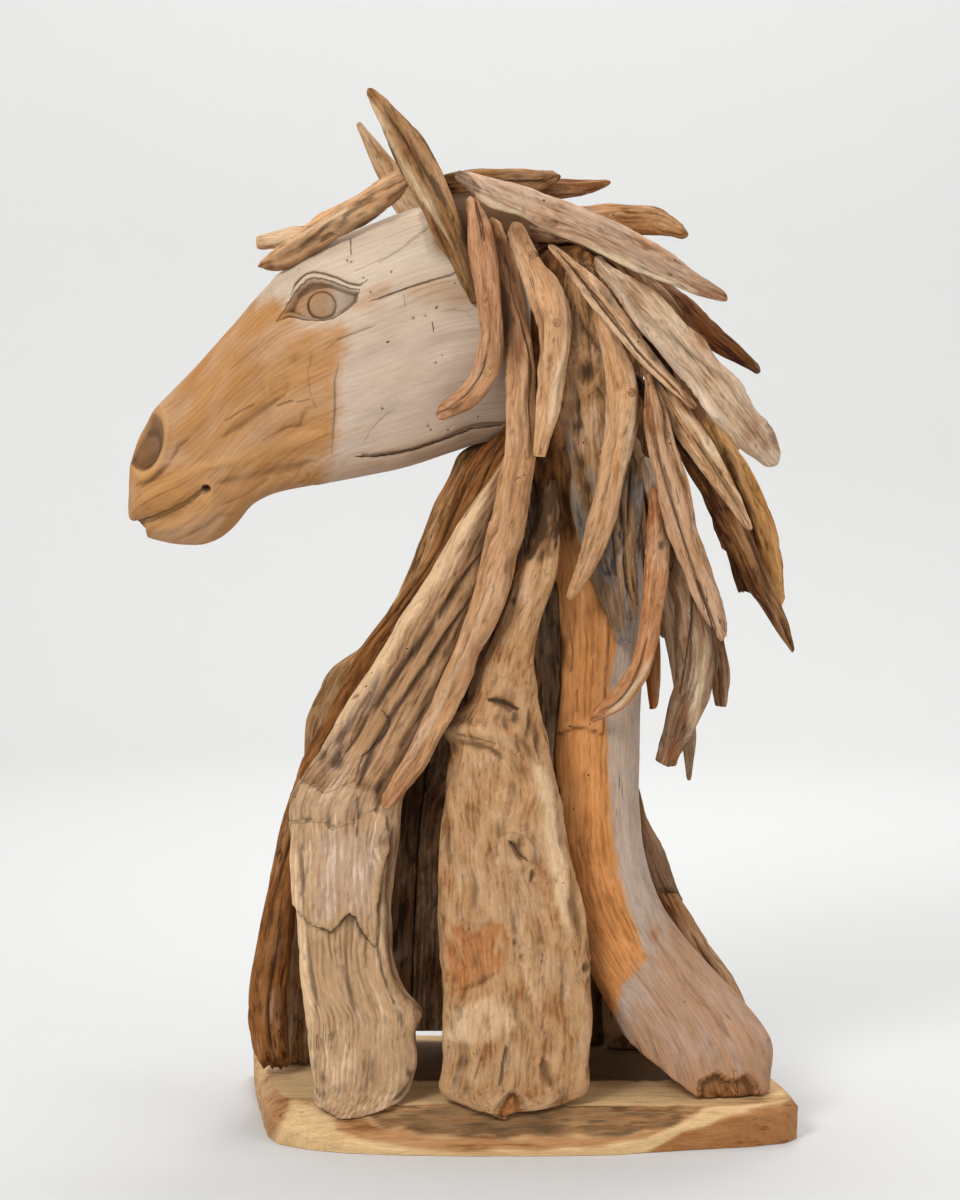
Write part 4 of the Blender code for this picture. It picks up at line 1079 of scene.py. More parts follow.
# Rows of kind, points x, z, width, rise, dark, pale and red; read_row fills in what is left out
GREY_FLANK = (112, 600, 104, 521, 98, 479, 94, 438, 88, 389, 94, 317, 99, 257, 114, 209, 127, 174, 103,
              149, 97, 111, 110, 60, 130, 10, 300, 10, 300, 600)
MARKS = {
    "trunk": (
        # Painted shade: the trunk's upper part, in shadow among the mane, is darkened
        ("area", (-120, 600, 30, 590, 90, 570, 220, 540, 220, 1000, -120, 1000), 12, 0, 1.3),
        ("area", GREY_FLANK, 3, -0.4, 0, 0.95),
        ("line", (100, 521, 92, 438, 84, 389, 90, 317, 95, 257, 110, 209, 122, 176), 5, 0, 0.2),
        ("area", (150, 215, 300, 200, 300, 0, 118, 0, 112, 60, 112, 110, 130, 165), 18, 0.5, 0.2, 0.6,
         0.15),
        ("layer", (20, 600, 20, 392, 34, 389, 47, 393, 60, 399, 72, 396, 84, 392, 95, 600), 1, 1.8,
         0.85, None, 0.2),
        ("cut", (40, 520, 44, 481, 44, 437, 40, 393), 1.6, -1.6, 0.75),
        ("cut", (60, 433, 60, 412), 1.2, -1, 0.7),
        ("cut", (52, 500, 56, 470, 54, 450), 1.2, -0.8, 0.5),
        ("line", (80, 370, 84, 300, 92, 220, 106, 160), 9, 0, 0, None, -0.3),
        ("cut", (34, 380, 38, 334, 46, 270), 1.5, -1.2, 0.6),
        ("knot", (41, 334), 5, 1, 0.9),
        ("spot", (179, 91, 186, 84), 5, 0.6, 0, 0.8, 0),
        ("line", (140, 150, 160, 110, 176, 70), 5, 1.2, 0, 0.75),
        ("line", (150, 175, 185, 130, 215, 90), 4, -0.8, 0.35),
        ("line", (120, 120, 135, 85, 150, 55), 4, -0.7, 0.3),
        ("spot", (135, 196), 5, 0, 0, 0.5, 0.6),
        ("layer", (178, 58, 195, 66, 203, 60, 212, 57, 224, 63, 233, 52, 240, 20, 176, 20), 1, -6, 0.9,
         0, 1),
        ("line", (184, 48, 200, 40, 228, 36), 3.5, -1.5, 0.5),
        ("cut", (190, 30, 206, 50, 214, 40), 1.2, -1.2, 0.7),
        ("bevel", (108, 92, 170, 46), 0)),
    "left_root": (
        # Painted shadow under the lower edge of the raised layer
        ("draw", (-192, 214, -186, 212, -177, 208, -169, 216, -166, 221, -160, 226, -154, 223, -150,
         212, -143, 202, -136, 194), 2.4, 0, 0.7),
        ("area", (-235, 322, -196, 326, -150, 330, -110, 330, -90, 0, -230, 0), 3, 0, 0, 0.55),
        ("area", (-187, 306, -163, 305, -132, 302, -138, 239, -140, 212, -154, 226, -164, 230, -183,
         217, -190, 217, -191, 258), 6, 0, 0, None, 0.55),
        ("line", (-114, 319, -118, 290, -123, 247, -122, 223, -120, 195, -114, 160), 6.5, -1.6, 0.7,
         0.2, 0),
        ("line", (-108, 300, -112, 250, -110, 200, -104, 165), 3, 1.2, 0.3, 0.6),
        ("line", (-129, 462, -142, 429, -159, 408, -178, 386, -193, 367), 6, -1.4, 0.5, 0, 0.4),
        ("spot", (-170, 380, -178, 371, -186, 376), 6, -1.6, 0.75, 0, 0.3),
        ("line", (-119, 368, -126, 354, -135, 340), 4, -1, 0.6),
        ("line", (-16, 650, -59, 578, -93, 526, -128, 473, -162, 420, -196, 366), 8, 3.5, 0, 1.5),
        ("line", (-28, 576, -73, 511, -114, 457, -143, 413, -168, 371), 4, -3.6, 0.85, 0, 0),
        ("line", (-45, 524, -83, 465, -113, 423, -137, 385, -152, 345, -157, 332), 3.2, -3.2, 0.9, 0,
         0),
        ("line", (-62, 476, -92, 429, -116, 387, -126, 350), 4, 2, 0.15, 0.25, 0),
        ("knot", (-172, 371), 9, 1.6, 0.7, None, 0.3),
        ("area", (-208, 352, -199, 350, -184, 343, -175, 346, -166, 351, -150, 347, -135, 340, -136,
         326, -154, 314, -166, 312, -176, 308, -184, 315, -199, 315, -221, 309), 3, 1.6, 0.05, 0.6,
         0.15),
        ("cut", (-222, 309, -199, 314, -184, 314, -176, 307, -166, 311, -154, 314, -145, 321, -134,
         327), 1.3, -0.6, 0.35),
        ("cut", (-203, 351, -191, 347, -184, 341, -175, 344, -166, 350, -152, 346), 1.3, -0.6, 0.4),
        ("cut", (-154, 354, -147, 376, -126, 396, -121, 409, -129, 420), 1.6, -2, 0.8),
        ("layer", (-225, 309, -199, 315, -184, 315, -176, 308, -166, 312, -154, 315, -145, 322, -128,
         322, -122, 290, -130, 262, -134, 233, -132, 209, -136, 195, -143, 203, -150, 213, -154, 224,
         -160, 227, -166, 222, -169, 217, -177, 209, -186, 213, -190, 214, -199, 220, -212, 232, -230,
         238), 1, 3.2, 0.25),
        ("cut", (-152, 340, -151, 318, -153, 300), 1, -1, 0.5),
        ("knot", (-129, 295), 8, 1.4, 0.6, None, 0.4),
        ("line", (-220, 330, -212, 259, -209, 198, -199, 124, -196, 60), 5, 2.4, 0, 1.4, 0),
        ("line", (-204, 300, -201, 230, -197, 170, -190, 120), 2.6, -1.3, 0.12),
        ("line", (-112, 325, -108, 283, -112, 226, -114, 183, -104, 148, -84, 122), 9, -1.5, 0.45, 0.15,
         0),
        ("line", (-128, 262, -134, 206, -128, 170, -113, 131), 2.4, -2, 0.6),
        ("line", (-165, 205, -160, 150, -150, 110), 3, -1, 0.25),
        ("line", (-182, 200, -178, 160), 5, 0, 0.22),
        ("spot", (-141, 81, -138, 70), 8, -0.6, 0.22, 0.3, 0),
        ("spot", (-188, 50, -172, 56, -186, 66), 5, -1.4, 0.6),
        ("line", (-106, 78, -98, 64, -108, 50, -118, 44), 4, -2.6, 0.55, None, 0.2)),
    "middle_root": (
        # Painted shade: the root's top, in shadow under the mane, is darkened
        ("area", (-60, 590, 14, 566, 36, 580, 80, 604, 80, 760, -60, 760), 10, 0, 1.6, 0),
        ("spot", (-72, 50), 15, 8),
        ("spot", (63, 50), 15, 7),
        ("line", (30, 600, 34, 581, 30, 560), 6, -1.6, 0.95),
        ("spot", (-5, 523), 2.6, -3, 1),
        ("spot", (4, 558), 8, 0, 0.1, None, 0.6),
        ("line", (0, 545, -8, 500, -20, 460), 5, -1.2, 0.3),
        ("line", (14, 600, 12, 540, 8, 480), 5, 1.8, 0, 0.3),
        ("knot", (-10, 420), 17, 2.4, 0.45, None, 0.2),
        ("cut", (-26, 430, -13, 427, 0, 421), 4.2, -4, 1),
        ("line", (-26, 421, -12, 418, 2, 412), 3, 1.6, 0, 0.5, 0.4),
        ("spot", (-70, 401, -64, 399), 7, 6, 0, 0.2, 0.2),
        ("line", (9, 424, 13, 408, 10, 391, 14, 377, 18, 365), 4, -2, 0.85, 0, 0.5),
        ("line", (21, 414, 23, 396, 20, 377), 2.6, -1.6, 0.75, 0, 0.5),
        ("cut", (-8, 297, -3, 292, 3, 282, 11, 277), 2.6, -3.2, 0.85),
        ("draw", (-19, 290, -16, 302, -5, 305, 9, 300, 18, 289, 19, 272, 13, 262), 2, 0, 0.25),
        ("draw", (14, 262, 13, 258), 3.4, 0, 0.8),
        ("spot", (-1, 413), 4.2, -2.6, 0.95),
        ("line", (-66, 404, -50, 402, -30, 399, -11, 392, 4, 378), 5.5, 3.6, 0, 0.3, 0.1),
        ("line", (-62, 390, -45, 388, -26, 384, -8, 372), 3, -2.4, 0.5),
        ("cut", (-58, 397, -40, 394, -20, 389), 1.3, -0.8, 0.45),
        ("line", (16, 420, 19, 396, 20, 368), 5, -1.6, 0.75),
        ("line", (12, 390, 20, 362, 27, 337, 35, 291, 44, 235, 50, 200), 7, 2.6, 0, 1.5),
        ("line", (48, 320, 56, 270, 60, 220, 64, 180), 4, -1.2, 0.12, None, 0.3),
        ("knot", (-1, 288), 12, 2, 0.3),
        ("knot", (15, 264), 5, 1.2, 0.7),
        ("knot", (-2, 199, 4, 186), 4, 1, 0.8),
        ("knot", (67, 172), 6, 1.6, 0.8),
        ("area", (-68, 219, -45, 211, -14, 218, -11, 178, -35, 158, -56, 141, -70, 161), 6, -1.6, 0, 0,
         0.75),
        ("line", (-66, 150, -40, 158, -16, 172), 2, -0.6, 0.5),
        ("line", (-60, 222, -40, 214, -18, 219), 2, -0.6, 0.4),
        ("area", (-66, 132, -20, 150, 0, 120, -30, 100, -66, 104), 5, 0.6, 0, 0.8),
        ("line", (26, 88, 29, 72, 35, 56), 5.5, -3.2, 0.3, None, 0.3),
        ("layer", (-20, 20, -20, 36, -11, 49, -4, 55, 3, 48, 9, 36, 9, 20), 1, -4.5, 0.7, None, 0.8),
        ("cut", (-16, 62, -14, 82, -10, 100), 1.4, -1.8, 0.85),
        ("cut", (-40, 68, -33, 90), 1.3, -1.2, 0.6),
        ("line", (-6, 160, 0, 130, 12, 96, 10, 60), 3, -0.8, 0.3),
        ("line", (10, 240, 6, 210, 10, 160, 30, 120), 3, 1, 0, 0.5)),
    "throat_plank": (
        ("area", (-260, 520, -190, 490, -162, 430, -140, 380, -140, 0, -260, 0), 10, 0, 0.45),),
    "knotty_plank": (
        ("area", (20, 690, 60, 650, 130, 640, 160, 560, 150, 440, 60, 440, 40, 560), 8, 0, 0, 0.75),
        ("area", (60, 560, 84, 540, 104, 520, 100, 490, 76, 500, 60, 530), 5, -0.6, 0.5, None, 0.5),
        ("knot", (67, 742), 12, 2.4, 0.95, None, 0.5),
        ("line", (50, 811, 66, 782, 90, 754, 97, 715, 92, 667), 3, -1.8, 0.6),
        ("line", (34, 710, 39, 687, 47, 638, 60, 590, 74, 551, 91, 500), 13, -1.2, 0.15, 1),
        ("line", (52, 670, 60, 640, 71, 612, 81, 590), 6, -2, 0.7, 0, 0.9),
        ("spot", (61, 655, 68, 630, 80, 600, 58, 690), 5, -1.5, 0.9),
        ("line", (85, 650, 95, 600, 101, 542, 103, 485), 3, 2.6, 0, 0.3, 0.2),
        ("line", (96, 640, 106, 580, 108, 520), 2, -2, 0.85),
        ("line", (104, 640, 114, 562, 118, 498), 7, 0.6, 0.1, 0, 0.4),
        ("line", (80, 811, 86, 782, 104, 734, 119, 687), 4, -1.6, 0.75)),
    "mane_crest_long": (
        ("line", (-45, 906, 2, 879, 58, 852, 118, 830, 176, 809), 6, 0.8, 0, 1.3),
        ("area", (-70, 940, -50, 936, -36, 912, -44, 896, -70, 900), 1.5, -1, 0.9, 0),
        ("spot", (35, 879, 76, 873, 4, 890, 114, 842, 142, 829), 1.7, -1.4, 0.95),
        ("line", (-35, 905, -16, 893, 27, 873), 3, -0.6, 0.35),
        ("line", (60, 872, 110, 850, 160, 826), 2.2, -0.8, 0.35)),
    "mane_broad_pale": (
        ("line", (80, 826, 100, 806, 124, 784, 161, 759, 190, 741, 216, 717), 5, -1.2, 0.55, 0),
        ("spot", (218, 681, 237, 671, 249, 677, 228, 690), 6.5, 0, 0.4, 0, 0.4),
        ("knot", (242, 694), 4.5, 1, 0.8),
        ("line", (78, 830, 115, 778, 162, 722, 211, 675), 5, 0.6, 0, 1),
        ("line", (110, 790, 140, 750, 180, 712), 2.5, -0.4, 0.3)),
    "mane_thin_split": (
        ("cut", (38, 856, 55, 835, 83, 797, 116, 757, 158, 716), 1.8, -2.2, 0.9),
        ("line", (46, 838, 76, 794, 108, 752), 3, 0.8, 0, 0.6)),
    "mane_cheek_hook": (
        ("cut", (-39, 905, -33, 885, -31, 867), 1.6, -2.4, 0.95),
        ("line", (-14, 712, -30, 703, -50, 702, -72, 706), 5, -0.8, 0.45),
        ("knot", (-31, 810), 3.5, 0.8, 0.7, None, 0.6),
        ("line", (-44, 880, -46, 830, -40, 780), 5, 0.6, 0, None, 0.5)),
    "mane_short_cut": (
        ("line", (24, 870, 45, 820, 50, 782, 37, 734, 30, 680), 2.5, 1.4, 0, 0.8),
        ("line", (10, 840, 22, 790, 20, 740), 2.2, -1, 0.4),
        ("spot", (23, 666), 2.6, -2, 0.95)),
    "mane_curved_light": (
        ("spot", (104, 685, 96, 729), 2.4, -0.8, 0.8),
        ("line", (89, 649, 79, 601, 66, 560), 3, -0.8, 0.45),
        ("line", (108, 760, 112, 700, 98, 630), 3, 0.6, 0, 0.7)),
    "mane_neck_long": (
        ("line", (3, 725, 5, 677, -6, 620, -11, 563), 3, -0.9, 0.35),
        ("line", (-16, 563, -44, 488, -82, 412, -116, 355), 3.5, 0.8, 0, 0.7, 0.2),
        ("area", (-22, 870, 10, 870, 18, 790, 6, 750, -20, 760), 5, -1.8, 0.55, 0, 0.5),
        ("spot", (-8, 850, 3, 820, -4, 792, 6, 835), 4, -1.8, 0.9, None, 0.4),
        ("spot", (0, 600, -30, 505, -70, 440), 2, -1, 0.85)),
    "mane_grey_straight": (
        ("cut", (125, 690, 142, 630, 163, 564, 178, 516), 1.3, -1.6, 0.85),
        ("cut", (138, 700, 156, 640, 172, 590), 1.1, -1, 0.6),
        ("cut", (170, 545, 181, 515, 190, 490), 1.8, -3, 0.95)),
    "mane_split_inner": (
        ("line", (164, 686, 189, 648, 212, 615, 224, 596), 3.6, -1.2, 0.75),
        ("line", (150, 712, 180, 676, 206, 640), 3.5, 0.8, 0, 0.8)),
    "mane_orange_curve": (
        ("line", (195, 690, 210, 660, 225, 620, 237, 577, 248, 537), 3.4, -1.4, 0.8),
        ("line", (212, 680, 232, 630, 246, 580), 3.5, 0.8, 0, 0.4, 0.4)),
    "mane_red_hook": (
        ("line", (132, 475, 118, 448, 100, 425, 84, 408), 3.2, 0.8, 0, 0.95, 0),
        ("knot", (138, 577), 6, 1.4, 0.7, 0.5),
        ("line", (128, 560, 130, 510, 124, 470), 3, -0.8, 0.4)),
    "mane_blunt_grey": (
        ("line", (150, 540, 151, 474, 145, 425, 141, 372), 6, -0.8, 0.35),
        ("line", (187, 500, 180, 435, 169, 378), 5, 0.8, 0, 0.8),
        ("cut", (170, 560, 168, 500, 160, 430), 1.6, -1.8, 0.9),
        ("spot", (148, 366, 160, 364, 154, 372), 6, 0, 0, None, 0.9)),
    "mane_outer_pointed": (
        ("line", (206, 622, 229, 563, 253, 512, 270, 476), 3.5, 1.6, 0, 0.6),
        ("line", (212, 640, 222, 600, 240, 550, 256, 500), 4, -1.4, 0.55, 0)),
    "ear_near": (
        ("line", (-145, 1012, -128, 981, -108, 941, -84, 903, -60, 860), 3.6, 1.4, 0, 0.95),
        ("line", (-136, 1010, -110, 969, -82, 930, -60, 888), 4.5, -1.6, 0.35, 0),
        ("line", (-118, 1000, -92, 958, -70, 925, -56, 896), 4, 1, 0, 0.4, 0.3)),
    "forelock_near": (
        # Painted shade on the stick's underside and on the wood that fills down to the head
        ("line", (-250, 846, -222, 860, -188, 878, -150, 898), 6, 1, 0.85),
        ("spot", (-256, 846, -250, 838, -242, 842), 7, -2.5, 0.95, None, 0.6),
        ("area", (-250, 844, -200, 868, -175, 882, -150, 897, -126, 911, -95, 926, -95, 860, -250, 800),
         7, 6, 0.75, 0),
        ("line", (-230, 868, -190, 886, -150, 906), 4, 0.6, 0, 0.6)),
    "forelock_far": (
        ("spot", (-262, 866, -254, 868), 7, 0, 0.15, None, 0.5),
        ("line", (-272, 860, -240, 872, -205, 884), 16, 3.5, 0, 0.4)),
}


# Lines on the slab's front face, x, z, and its top's front rim, x, y
BARK_EDGE = ((-185, 44), (-154, 34), (-127, 23), (-94, 17), (81, 16), (114, 17), (147, 23),
             (169, 31), (182, 44))
BAND_TOP = ((-236, 34), (-216, 38), (-198, 36), (-178, 32), (-172, 19), (-149, 14), (-121, 10),
            (-94, 7), (16, 6), (71, 8), (125, 16), (147, 24), (180, 38), (218, 44), (262, 50))
BAND_LOW = ((-262, -5), (105, -3), (125, 1), (158, 17), (180, 23), (207, 32), (235, 36), (265, 38))
FRONT_RIM = ((-262, -90), (-220, -128), (-100, -154), (0, -160), (120, -158), (200, -140),
             (275, -112))


def slab():
    """Live-edge slab, in level rings from its top down."""
    heights = np.concatenate((np.linspace(38.7, 4.0, 20), (2.2, 0.3)))
    line = np.stack((np.zeros_like(heights), np.zeros_like(heights), heights), axis=1)
    log = Log("base", line, np.tile(-UP, (len(line), 1)), NEAR, (2.6, 1.8), (1.5, 0.0))
    log.straight = log.plain[..., (1, 2, 0)]

    def marks_at(x, y, z, front):
        """Rise and marks of the bark, the pale band and the heartwood."""
        wobble = 4.0 * noise(np.stack((x / 26.0, y / 14.0, z / 14.0), axis=-1), 5)
        fine = layered(np.stack((x / 44.0, y / 7.0, z / 5.0), axis=-1), 6, 3)
        low = np.interp(x, *np.array(BARK_EDGE).T)
        ends = ease(x, -205.0, -180.0) * ease(-x, -178.0, -150.0)
        bark = ease(z + wobble - low, -2.0, 2.0) * ends * front
        band = ease(np.interp(x, *np.array(BAND_TOP).T) - z + wobble * 0.4, -2.0, 2.0)
        band *= ease(z + wobble * 0.5 - np.interp(x, *np.array(BAND_LOW).T), -2.5, 2.5)
        band *= front * (1.0 - bark)
        heart = ease(x, 105.0, 135.0) * front * (1.0 - band) * (1.0 - bark)
        under = ease(x, -176.0, -158.0) * ease(-x, -150.0, -120.0)
        under = under * front * (1.0 - band) * (1.0 - bark)
        corner = ease(-x - 232.0 + 0.5 * z, 0.0, 10.0) * front
        dark = bark * np.clip(0.66 + 1.1 * fine, 0.12, 1.0) + 0.12 * heart * (fine > 0.35)
        pale = band * (1.0 - 0.8 * corner)
        red = np.max((0.85 * heart, 0.7 * corner, 0.6 * under, 0.5 * bark), axis=0)
        rise = bark * (4.2 * fine - 1.2)
        return rise, np.clip(dark, 0.0, 1.0), pale, red

    x, y, z = np.moveaxis(log.plain, -1, 0)
    log.offset += 0.8 * log.grained(40.0, 60.0, 3, 3)
    rise, log.dark, log.pale, log.red = marks_at(x, y, z, ease(log.facing, 0.05, 0.5))
    log.offset += rise

    def cover(places):
        """Rise and marks of the top, with its front rim and painted shadow in the hollow between the
        roots.
        """
        x, y, z = places.T
        rim = np.interp(x, *np.array(FRONT_RIM).T)
        zone = ease(rim + 26.0 - y + 7.0 * noise(places / 31.0, 8), -8.0, 8.0)
        rise, dark, _, _ = marks_at(x, y, z + 6.0, zone)
        grime = 0.10 * ease(noise(places / 37.0, 12), 0.1, 0.7)
        ragged = 8.0 * noise(places / 13.0, 14)
        # Painted shadow on the top, under the horse between the roots
        hollow = ease(y + ragged, -44.0, -30.0) * ease(-y, -135.0, -110.0)
        hollow *= ease(x + ragged, -150.0, -132.0) * ease(-x, -172.0, -158.0)
        none = np.zeros_like(x)
        pale = (1.0 - zone) * (1.0 - hollow)
        return rise, np.stack((np.max((dark, grime, hollow), axis=0), pale, none, none), axis=-1)

    log.cover = cover
    finish = {"light": (224, 184, 134), "middle": (206, 163, 114), "dark": (160, 118, 76),
              "pale": (222, 186, 136), "red": (156, 100, 56), "rings": 0.02, "ring_width": 9.0,
              "holes": 0.12, "weathering": 0.1, "contrast": 0.75, "curl": 0.7}
    return place_wood(log, finish, 3, caps=(60, 6), rough=(0.6, 0.0))


def head_planes():
    """Middles and normals of the head's sections, from the muzzle back."""
    rows = np.array(HEAD_PLANES, float)
    tops = np.stack((rows[:, 0], np.zeros(len(rows)), rows[:, 1]), axis=1)
    bottoms = np.stack((rows[:, 2], np.zeros(len(rows)), rows[:, 3]), axis=1)
    middles = (tops + bottoms) / 2
    steps = np.concatenate(([0.0], np.cumsum(np.linalg.norm(np.diff(middles, axis=0), axis=1))))
    reach = np.linspace(0.6, steps[-1] - 0.4, 100)
    read = [np.interp(reach, steps, column) for column in np.hstack((middles, tops - bottoms)).T]
    table = np.stack(read, axis=1)
    line = blur(table[:, :3], 1.5, 0, False)
    line[0], line[-1] = table[0, :3], table[-1, :3]
    upright = unit(blur(table[:, 3:], 1.5, 0, False))
    return line, np.cross(upright, FAR)


def turned(x, z, centre, degrees):
    """Coordinates from a centre, along axes turned by an angle."""
    turn = math.radians(degrees)
    right, above = x - centre[0], z - centre[1]
    return (right * math.cos(turn) + above * math.sin(turn),
            above * math.cos(turn) - right * math.sin(turn))


def moved(points, x, z):
    """Points x, z, moved by a distance."""
    return [(a + x, b + z) for a, b in points]


def carved_parts(places):
    """Where the CAD head has its eyes, nostrils and mouth cut in."""
    x, _, z = np.moveaxis(places, -1, 0)
    along, rise = turned(x, z, (-192, 808), 20.0)
    eye = (along / 54) ** 2 + (rise / 32) ** 2 < 1
    nostril = ((x + 361) / 22) ** 2 + ((z - 669) / 34) ** 2 < 1
    mouth = (np.abs(z - 594 - (x + 384) * 0.36) < 10) & (x < -292) & (x > -362)
    return eye | nostril | mouth


# Carved and drawn lines of the head, x, z
UPPER_LID = ((-233, 792), (-222, 809), (-215, 820), (-209, 827), (-203, 832), (-198, 834), (-190, 834),
             (-180, 831), (-170, 827), (-162, 824), (-152, 822))
LOWER_LID = ((-233, 792), (-226, 795), (-221, 797), (-214, 796), (-207, 794), (-197, 793), (-186, 793),
             (-177, 795), (-169, 800), (-162, 805), (-155, 811), (-152, 821))
BROW = ((-219, 818), (-215, 828), (-209, 835), (-203, 839), (-196, 840), (-185, 838), (-173, 834),
        (-163, 829), (-151, 827), (-144, 832))
IRIS = (-189, 809)
EYE_TURN = 2.42
IRIS_RADIUS = 12.8
NOSTRIL = (-362, 675)
MOUTH = ((-386, 592), (-369, 595), (-358, 598), (-339, 606), (-325, 613), (-312, 622), (-304, 627))
LIP_FOOT = ((-366, 593), (-335, 603), (-312, 617))
# Points, width, rise and taper
MUZZLE_FOLDS = (
    (((-369, 634), (-357, 639), (-340, 654), (-331, 671), (-316, 682)), 3.4, -1.8, 0.3),
    (((-378, 608), (-364, 623), (-332, 640), (-305, 653), (-293, 650)), 7.0, 2.6, 0.2),
    (((-293, 677), (-268, 692), (-247, 706), (-225, 721)), 7.0, -2.4, 0.3),
    (((-303, 650), (-264, 664), (-220, 678), (-181, 686)), 12.0, 2.8, 0.3),
    (((-300, 632), (-259, 640), (-210, 652), (-190, 660)), 7.0, -2.2, 0.3),
    (((-225, 779), (-218, 755), (-222, 730), (-227, 716)), 6.0, -1.8, 0.3),
    (((-250, 770), (-240, 745), (-243, 720)), 9.0, 1.6, 0.3),
    (((-200, 770), (-196, 745), (-200, 715), (-212, 690)), 6.0, -1.3, 0.3),
    (((-330, 715), (-300, 742), (-270, 768)), 8.0, -1.5, 0.3),
    (MOUTH, 1.7, -2.4, 0.0),
    (moved(MOUTH, 2, 4), 7.5, -2.6, 0.1),
    (((-362, 585), (-335, 594), (-310, 608)), 4.5, 1.2, 0.3),
    (LIP_FOOT, 1.4, -0.7, 0.3),
    (((-330, 579), (-309, 589), (-290, 602), (-272, 606)), 4.0, -1.6, 0.3))
# Points, width, dark and taper
MUZZLE_SHADES = (
    (((-371, 633), (-357, 638), (-343, 649)), 1.4, 0.5, 0.2),
    (((-337, 658), (-331, 671), (-316, 683)), 2.2, 0.3, 0.3),
    (MOUTH, 1.7, 0.30, 0.0),
    (LIP_FOOT, 1.4, 0.42, 0.3))
WASHED = ((-252, 806), (-238, 817), (-228, 811), (-219, 799), (-210, 790), (-190, 787), (-173, 789),
          (-165, 783), (-165, 776), (-171, 754), (-176, 735), (-177, 706), (-177, 687), (-182, 661),
          (-191, 640), (-198, 590), (70, 590), (70, 970), (-280, 970))
WASHED_EDGE = ((-172, 752), (-176, 735), (-176, 706), (-178, 687), (-180, 663))
HEAD_HOLES = ((-164, 851), (-160, 850), (-148, 834), (-141, 820), (-59, 828), (-77, 805), (-72, 759),
              (-78, 752), (-130, 707), (-121, 839), (-66, 687), (-86, 691), (-83, 687), (-82, 675),
              (-37, 700), (-100, 795), (-88, 797))
# Points, width, depth and dark
HEAD_CRACKS = (
    (((-142, 811), (-128, 816), (-103, 825), (-80, 832), (-57, 839)), 1.2, 2.2, 0.9),
    (((-186, 764), (-171, 775), (-155, 781), (-136, 788)), 0.9, 1.0, 0.6),
    (((-157, 661), (-141, 661), (-129, 662), (-102, 667), (-78, 675), (-62, 681), (-43, 688),
      (-14, 692)), 1.7, 4.0, 1.0),
    (((-157, 840), (-124, 855), (-110, 862)), 1.0, 0.5, 0.35),
    (((-132, 849), (-108, 865), (-93, 877), (-82, 885)), 3.2, 0.4, 0.3),
    (((-162, 874), (-160, 857)), 1.0, 1.2, 0.9), (((-81, 791), (-80, 782)), 1.1, 1.2, 0.9),
    (((-109, 817), (-107, 806)), 0.9, 0.6, 0.5),
    (((-148, 675), (-140, 689), (-128, 700), (-117, 708)), 1.1, 0.7, 0.4),
    (((-198, 760), (-202, 743), (-200, 721), (-193, 704)), 1.3, 0.6, 0.25),
    (((-37, 791), (-49, 801), (-62, 803), (-74, 801)), 1.2, 0.6, 0.25),
    (((-284, 696), (-269, 705), (-256, 712)), 1.6, 0.9, 0.5),
    (((-232, 711), (-218, 715)), 2.2, 0.8, 0.6), (((-213, 714), (-201, 716)), 1.4, 0.6, 0.5),
    (((-289, 613), (-267, 623), (-242, 640)), 1.5, 0.7, 0.3),
    (((-248, 677), (-225, 689), (-206, 692)), 1.7, 0.6, 0.3))


def carve_eye(log):
    """Lids, sunk eyeball and domed iris, the same on both sides."""
    depth = log.inside(UPPER_LID + LOWER_LID[-1:0:-1], side=0)
    x, _, z = np.moveaxis(log.plain, -1, 0)
    corner = np.exp(-((x + 223) ** 2 + (z - 806) ** 2) / 170.0)
    rear = np.exp(-((x + 158) ** 2 + (z - 814) ** 2) / 260.0)
    wall = 3.0 + 6.0 * corner
    sunk = ease(depth / wall, 0.0, 1.0)
    u, v = turned(x, z, (-190, 806), 18.0)
    u, v = u / 41.0, v / 21.0
    ball = np.sqrt(np.clip(1.0 - u * u - v * v, 0.0, 1.0))
    away = np.hypot(x - IRIS[0], z - IRIS[1])
    iris = np.sqrt(np.clip(1.0 - (away / IRIS_RADIUS) ** 2, 0.0, 1.0))
    inner = ease(depth, 0.0, 2.0)
    log.offset += -5.6 * sunk + inner * (4.2 * ball + 2.6 * iris)
    ring = np.exp(-((away - IRIS_RADIUS - 0.6) / 1.2) ** 2) * inner
    log.offset -= 1.5 * ring
    crease = log.stroke(BROW, 1.5, 0, 0.15)
    log.offset += 1.0 * log.stroke(moved(UPPER_LID, 0, 3.2), 2.6, 0, 0.2) - 1.9 * crease
    log.offset += 1.1 * log.stroke(moved(LOWER_LID, 0, -3.0), 2.0, 0, 0.2)
    edge = log.stroke(LOWER_LID, 1.2, 0, 0.1)
    log.offset -= 1.1 * edge
    upper = log.stroke(UPPER_LID, 1.6, 0, 0.1) * inner
    shaded = sunk * np.clip(1.0 - depth / (wall + 2.5), 0.0, 1.0)
    shaded = shaded * ease(z - 797 - 0.3 * (x + 192), -6.0, 10.0)
    # Painted shade: the crease under the brow, the lower lid's edge, the line under the upper lid, the
    # socket's upper wall and front corner, and the iris ring, darkest on one side
    log.shade(0.62 * crease, 0.5 * edge, 0.8 * upper, 0.62 * shaded,
              0.65 * ring * ease(0.6 * v - u, -0.6, 0.6) + 0.3 * ring,
              0.85 * corner * sunk * ease(wall + 2.5 - depth, 0.0, 4.0))
    log.dark += 0.30 * inner + 0.08 * inner * iris + 0.25 * rear * inner
    return inner


